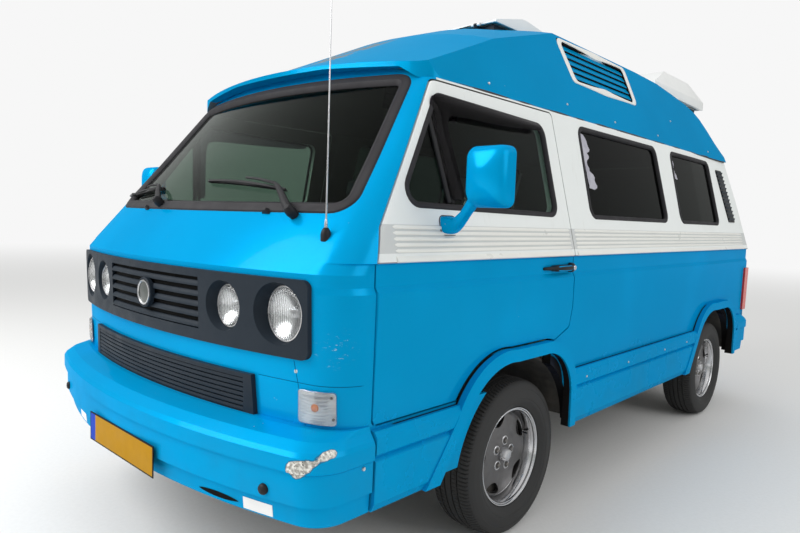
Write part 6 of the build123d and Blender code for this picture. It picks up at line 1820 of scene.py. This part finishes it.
class CAMPER_OT_cabin(bpy.types.Operator):
    """Upholsters the seats and bed, and makes the steering wheel, levers and cabinet fronts"""

    bl_idname = "camper.cabin"
    bl_label = "Cabin"

    def execute(self, context):
        settings = context.scene.camper_cabin
        turn = Matrix.Rotation(FRONT_BACK_LEAN, 4, "X")
        lean = Matrix.Translation((0, *FRONT_BACK_FOOT)) @ turn
        for sign, side in SIDES:
            middle = sign * SEAT_X
            seat = self.cushion(f"seat_cushion_{side}", (middle - 0.222, -1.325, 0.872),
                                (middle + 0.222, -0.875, 0.968), settings, settings.voxel)
            self.channels(seat, [middle - 0.075, middle + 0.075], 2, 0.93, (0, 0, -1), (-1.27, -0.93))
            self.finish(seat, "seat_cloth", ("front_seats",) if side == "left" else ())
            self.piping(f"seat_piping_{side}", seat, 2, 0.930)
            back = self.cushion(f"seat_back_{side}", (middle - 0.212, 0.004, -0.040), (middle + 0.212, 0.094, 0.420),
                                settings, settings.voxel)
            self.channels(back, [middle - 0.070, middle + 0.070], 1, 0.030, (0, 1, 0), (0.03, 0.37))
            self.piping(f"back_piping_{side}", back, 1, 0.030, lean)
            back.data.transform(lean)
            self.finish(back, "seat_cloth")
            rest = self.cushion(f"head_rest_{side}", (middle - 0.125, 0.012, 0.455), (middle + 0.125, 0.086, 0.572),
                                settings, settings.voxel)
            rest.data.transform(lean)
            self.finish(rest, "seat_cloth")
            shape = Shape()
            for x in (-0.050, 0.050):
                posts = [lean @ Vector((middle + x, 0.049, z)) for z in (0.400, 0.440, 0.480)]
                shape.add(*tube(posts, 0.0055, 12))
            shape.build(f"rest_posts_{side}", "bright_steel", "body", smooth=40)
        for name, low, high, lines in BENCH_CUSHIONS:
            pad = self.cushion(name, low, high, settings, settings.voxel * 1.15)
            if lines:
                axis, level, way = (1, low[1] + 0.02, (0, 1, 0)) if "back" in name else (2, high[2] - 0.02, (0, 0, -1))
                ends = (low[2] + 0.04, high[2] - 0.04) if "back" in name else (low[1] + 0.04, high[1] - 0.04)
                self.channels(pad, lines, axis, level, way, ends)
            self.finish(pad, "bench_cloth", ("rear_bench",) if name == "bench_seat_left" else ())
        self.steering_wheel()
        self.dash_fittings()
        self.cabinet()
        return {"FINISHED"}

    def cushion(self, name, low, high, settings, voxel):
        """A rounded block, remeshed and swelled as cloth round its filling."""
        low, high = Vector(low), Vector(high)
        inset = Vector((CUSHION_INSET,) * 3)
        a, b = low + inset, high - inset
        piece = plain(name, *slab(a.x, b.x, a.y, b.y, a.z, b.z))
        modify(piece, (("BEVEL", {"width": min(high - low) * 0.34, "segments": 4}),
                       ("REMESH", {"mode": "VOXEL", "voxel_size": voxel})))
        settle(piece, 180)
        middle, half = (low + high) / 2, (high - low) / 2
        start = [v.co.copy() for v in piece.data.vertices]
        moved = self.swell(piece, settings.puff)
        for vertex, before, after in zip(piece.data.vertices, start, moved):
            step = after - before
            if step.length > SWELL_CAP:
                step *= SWELL_CAP / step.length
            place = before + step
            part = [(place[i] - middle[i]) / half[i] for i in range(3)]
            thin_axis = min(range(3), key=lambda i: half[i])
            crown = 1.0
            for i in range(3):
                if i != thin_axis:
                    crown *= max(0.0, 1 - abs(part[i]) ** 3.0)
            place[thin_axis] += CROWN * crown * part[thin_axis]
            for i in range(3):
                others = [part[j] for j in range(3) if j != i and j != thin_axis]
                if i != thin_axis and others:
                    place[i] -= DRAW * part[i] ** 3 * (1 - abs(others[0]) ** 2.5)
                place[i] = min(max(place[i], low[i]), high[i])
            vertex.co = place
        modify(piece, (("SUBSURF", {"levels": 1}),))
        settle(piece, 180)
        return piece

    def swell(self, piece, puff):
        """Where cloth pressure moves the piece's points in twenty frames."""
        cloth = piece.modifiers.new("Cloth", "CLOTH")
        cloth.settings.use_pressure = True
        cloth.settings.uniform_pressure_force = puff
        cloth.settings.effector_weights.gravity = 0
        cloth.settings.quality = 4
        scene = bpy.context.scene
        for step in range(1, 21):
            scene.frame_set(step)
        graph = bpy.context.evaluated_depsgraph_get()
        moved = [v.co.copy() for v in piece.evaluated_get(graph).data.vertices]
        piece.modifiers.clear()
        scene.frame_set(1)
        return moved

    def channels(self, piece, lines, axis, level, way, ends):
        """Sewn channels: narrow grooves across the top at some places of x, with a puckered seam."""
        run = 1 if axis == 2 else 2
        for vertex in piece.data.vertices:
            co = vertex.co
            if (axis == 2 and co.z < level) or (axis == 1 and co.y > level):
                continue
            if not ends[0] < co[run] < ends[1]:
                continue
            fade = min(1.0, (co[run] - ends[0]) / CHANNEL_END, (ends[1] - co[run]) / CHANNEL_END)
            depth = sum(math.exp(-((co.x - line) / CHANNEL_HALF) ** 2) for line in lines)
            pucker = 1.0 + 0.25 * math.sin(co[run] * PUCKERS)
            vertex.co = co + Vector(way) * (CHANNEL_DEPTH * depth * fade * pucker)

    def piping(self, name, piece, axis, level, lean=None):
        """A welted cord sewn round a cushion's edge."""
        tree = BVHTree.FromPolygons([v.co for v in piece.data.vertices], [p.vertices for p in piece.data.polygons])
        low = Vector([min(v.co[i] for v in piece.data.vertices) for i in range(3)])
        high = Vector([max(v.co[i] for v in piece.data.vertices) for i in range(3)])
        a, b = (0, 1) if axis == 2 else (0, 2)
        places = []
        for p in round_outline(oblong(low[a], high[a], low[b], high[b]), 0.045, 0.02, 8):
            aim = Vector((0, 0, 0))
            aim[a], aim[b], aim[axis] = p[0], p[1], level
            place, normal, _, _ = tree.find_nearest(aim)
            places.append(place + normal * 0.0012)
        if lean:
            places = [lean @ place for place in places]
        build(name, *tube(places, 0.0036, 8, True), "seat_piping", "body", 60)

    def finish(self, piece, finish, replaces=()):
        piece.data.materials.clear()
        piece.data.materials.append(finish_named(finish))
        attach(piece, "body")
        if replaces:
            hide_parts(*replaces)

    def steering_wheel(self):
        """Padded rim, two broad spokes and a plain centre pad."""
        rake = math.radians(30.0)
        axis = Vector((0, math.sin(rake), math.cos(rake)))
        across = Vector((1, 0, 0))
        ahead = axis.cross(across)
        stand = Matrix((across, ahead, axis)).transposed().to_4x4()
        stand.translation = (SEAT_X, -1.600, 1.130)
        radius, grip_radius, turns = 0.187, 0.0125, 96
        section = [(radius + grip_radius * math.cos(math.tau * k / 14), grip_radius * math.sin(math.tau * k / 14))
                   for k in range(14)]
        verts = []
        for i in range(turns):
            turn = math.tau * i / turns
            grip = 1.0 + 0.035 * (abs(((i / turns * 60) % 1.0) - 0.5) * 2) ** 4
            for reach, height in section:
                reach = radius + (reach - radius) * grip
                verts.append(stand @ Vector((reach * math.cos(turn), reach * math.sin(turn), height * grip)))
        shape = Shape().add(verts, ring_faces(turns, len(section)))
        for sign in (1, -1):
            rows = ((0.030, 0.034, -0.030, 0.010), (0.080, 0.028, -0.028, 0.009), (0.130, 0.022, -0.018, 0.008),
                    (0.180, 0.024, -0.004, 0.007))
            verts = []
            for reach, half, height, thick in rows:
                for v, h in mirrored(((-1, -0.6), (-1, 0.5), (-0.7, 1.0))):
                    verts.append(stand @ Vector((sign * reach, half * v - 0.010, height + thick * h)))
            shape.add(verts, solid_faces(len(rows), 6))
        pad = round_outline(oblong(-0.062, 0.062, -0.052, 0.034), 0.018, 0.02, 5)
        rings = ((0.92, -0.062), (1.0, -0.040), (1.0, -0.016), (0.94, -0.009), (0.60, -0.006))
        verts = [stand @ Vector((p[0] * k, p[1] * k, h)) for k, h in rings for p in pad]
        shape.add(verts, capped_faces(len(rings), len(pad)) + [tuple(reversed(range(len(pad))))])
        shape.build("wheel_rim_and_pad", "dash_vinyl", "steering_wheel", smooth=45, replaces=("steering_wheel",))

    def dash_fittings(self):
        """Instrument hood with three dials, air vents, and the gear lever with its gaiter."""
        top = Skin("dashboard")
        rows = ((-1.990, 0.02, 0.000), (-1.930, 0.115, 0.045), (-1.850, 0.135, 0.056), (-1.800, 0.138, 0.055))
        section = ((-1.0, -0.2), (-0.97, 0.75), (-0.82, 1.0), (0.0, 1.08), (0.82, 1.0), (0.97, 0.75), (1.0, -0.2))
        verts = []
        for y, half, rise in rows:
            base, _ = top.meet((SEAT_X, y, 1.6), (0, 0, -1))
            for a, n in section:
                verts.append((SEAT_X + 0.170 * a * half / 0.138, y, base.z + 0.004 + rise * n))
        shape = Shape().add(verts, solid_faces(len(rows), len(section), True))
        for x, radius in ((0.330, 0.030), (0.400, 0.040), (0.478, 0.030)):
            stand = Matrix.Translation((x, -1.799, 1.186)) @ Matrix.Rotation(-math.pi / 2, 4, "X")
            shape.add(*turned([(radius, -0.002), (radius, 0.004), (radius * 0.93, 0.004), (radius * 0.90, 0.001),
                               (0.0002, 0.001)], 36, stand), 1)
        for x in (-0.55, -0.15, 0.12, 0.66):
            for k in range(4):
                z = 1.098 + 0.011 * k
                place, _ = top.meet((x, -1.2, z), (0, -1, 0))
                shape.add(*slab(x - 0.050, x + 0.050, place.y - 0.002, place.y + 0.007, z - 0.0025, z + 0.0025), 0)
        shape.build("dash_fittings", ["dash_vinyl", "black_plastic"], "body", smooth=40)
        shape = Shape()
        floor, _ = Skin("floor_pan").meet((0.0, -1.45, 0.9), (0, 0, -1))
        lever = [Vector((0.0, y, floor.z + up))
                 for y, up in ((-1.47, 0.0), (-1.45, 0.14), (-1.41, 0.28), (-1.39, 0.36))]
        shape.add(*tube(lever, 0.006, 10), 1)
        stand = Matrix.Translation(lever[-1])
        shape.add(*turned([(0.0002, -0.022), (0.014, -0.020), (0.019, -0.004), (0.020, 0.010), (0.015, 0.024),
                           (0.0002, 0.028)], 24, stand), 0)
        stand = Matrix.Translation(lever[0])
        pleats = [(0.055, 0.000), (0.050, 0.010), (0.052, 0.016), (0.040, 0.028), (0.042, 0.034), (0.028, 0.050),
                  (0.030, 0.056), (0.016, 0.076), (0.009, 0.092)]
        shape.add(*turned(pleats, 28, stand), 0)
        shape.build("gear_lever", ["black_plastic", "bright_steel"], "body", smooth=40)

    def cabinet(self):
        """Doors and knobs of the kitchen unit, and its sink and tap."""
        unit = Skin("kitchen_cabinet")
        shape = Shape()
        place, _ = unit.meet((-0.30, -0.20, 0.80), (1, 0, 0))
        x = place.x
        for y0, y1, z0, z1 in ((-0.545, -0.215, 0.54, 1.20), (-0.205, 0.125, 0.54, 1.20), (0.135, 0.465, 0.54, 0.86),
                               (0.135, 0.465, 0.87, 1.20)):
            panel = round_outline(oblong(y0, y1, z0, z1), 0.010, 0.2, 4)
            middle = Vector(((y0 + y1) / 2, (z0 + z1) / 2))
            rings = ((1.0, 0.0), (1.0, 0.013), (0.985, 0.016))
            verts = [(x - out, middle.x + (p[0] - middle.x) * k, middle.y + (p[1] - middle.y) * k)
                     for k, out in rings for p in panel]
            shape.add(verts, capped_faces(len(rings), len(panel)))
            stand = Matrix.Translation((x - 0.016, y1 - 0.04, z1 - 0.06)) @ Matrix.Rotation(-math.pi / 2, 4, "Y")
            shape.add(*turned([(0.006, -0.002), (0.006, 0.010), (0.014, 0.016), (0.014, 0.022), (0.0002, 0.024)], 20,
                              stand), 1)
        shape.build("cabinet_fronts", ["cabinet_board", "bright_steel"], "body", smooth=35)
        top, _ = unit.meet((0.55, -0.05, 1.6), (0, 0, -1))
        basin = round_outline(oblong(0.45, 0.70, -0.10, 0.25), 0.05, 0.05, 6)
        middle = Vector((0.575, 0.075))
        rings = ((1.06, 0.0005), (1.06, 0.003), (0.98, 0.004), (0.95, 0.0015), (0.90, 0.001))
        verts = [(middle.x + (p[0] - middle.x) * k, middle.y + (p[1] - middle.y) * k, top.z + h)
                 for k, h in rings for p in basin]
        shape = Shape().add(verts, capped_faces(len(rings), len(basin)))
        spout = [Vector((x, 0.075, top.z + up))
                 for x, up in ((0.72, 0.0), (0.72, 0.13), (0.70, 0.165), (0.65, 0.170), (0.62, 0.145))]
        shape.add(*tube(spout, 0.008, 10))
        shape.build("sink_and_tap", "bright_steel", "body", smooth=45)


# Underside

# Springs: coils, steps along the wire, and radius of the coil and of the wire
COILS, COIL_STEPS, COIL_RADIUS, WIRE_RADIUS = 5.5, 84, 0.052, 0.006


class CAMPER_OT_underside(bpy.types.Operator):
    """Hangs the springs and dampers under the floor"""

    bl_idname = "camper.underside"
    bl_label = "Underside"

    def execute(self, context):
        for place, out in WHEELS:
            centre = middle_of(f"tyre_{place}")
            front = place.startswith("front")
            shape = Shape()
            top = centre + Vector((-out * 0.27, 0.0 if front else 0.05, 0.125 if front else 0.22))
            low = centre + Vector((-out * 0.25, 0.0, -0.055 if front else 0.03))
            helix = []
            for k in range(COIL_STEPS + 1):
                part = k / COIL_STEPS
                turn = math.tau * COILS * part
                round_it = Vector((COIL_RADIUS * math.cos(turn), COIL_RADIUS * math.sin(turn), 0.0))
                helix.append(low.lerp(top, part) + round_it)
            shape.add(*tube(helix, WIRE_RADIUS, 8))
            shape.add(*tube([low, low.lerp(top, 0.55)], 0.024, 14), 0)
            shape.add(*tube([low.lerp(top, 0.5), top], 0.009, 12), 1)
            shape.build(f"spring_{place}", ["underseal", "bright_steel"], "body", smooth=45)
        return {"FINISHED"}


CLASSES = [CamperStudio, CamperTrim, CamperWheels, CamperCabin, CAMPER_OT_stage, CAMPER_OT_coats,
           CAMPER_OT_glazing, CAMPER_OT_nose, CAMPER_OT_trim, CAMPER_OT_wheels, CAMPER_OT_tail,
           CAMPER_OT_cabin, CAMPER_OT_underside]
STEPS = ("stage", "coats", "glazing", "nose", "trim", "wheels", "tail", "cabin", "underside")
GROUPS = {"camper_studio": CamperStudio, "camper_trim": CamperTrim, "camper_wheels": CamperWheels,
          "camper_cabin": CamperCabin}


class CAMPER_PT_panel(bpy.types.Panel):
    """Lists the steps that dress the van"""

    bl_label = "Camper van"
    bl_idname = "CAMPER_PT_panel"
    bl_space_type = "VIEW_3D"
    bl_region_type = "UI"
    bl_category = "Camper"

    def draw(self, context):
        for step in STEPS:
            self.layout.operator(f"camper.{step}")
        for group in GROUPS:
            box = self.layout.box()
            settings = getattr(context.scene, group)
            for name in settings.bl_rna.properties.keys():
                if name not in ("rna_type", "name"):
                    box.prop(settings, name)


def register():
    for entry in CLASSES + [CAMPER_PT_panel]:
        bpy.utils.register_class(entry)
    for name, group in GROUPS.items():
        setattr(bpy.types.Scene, name, bpy.props.PointerProperty(type=group))


def unregister():
    for name in GROUPS:
        delattr(bpy.types.Scene, name)
    for entry in reversed(CLASSES + [CAMPER_PT_panel]):
        bpy.utils.unregister_class(entry)


def main():
    register()
    for step in STEPS:
        getattr(bpy.ops.camper, step)()


if __name__ == "__main__":
    main()
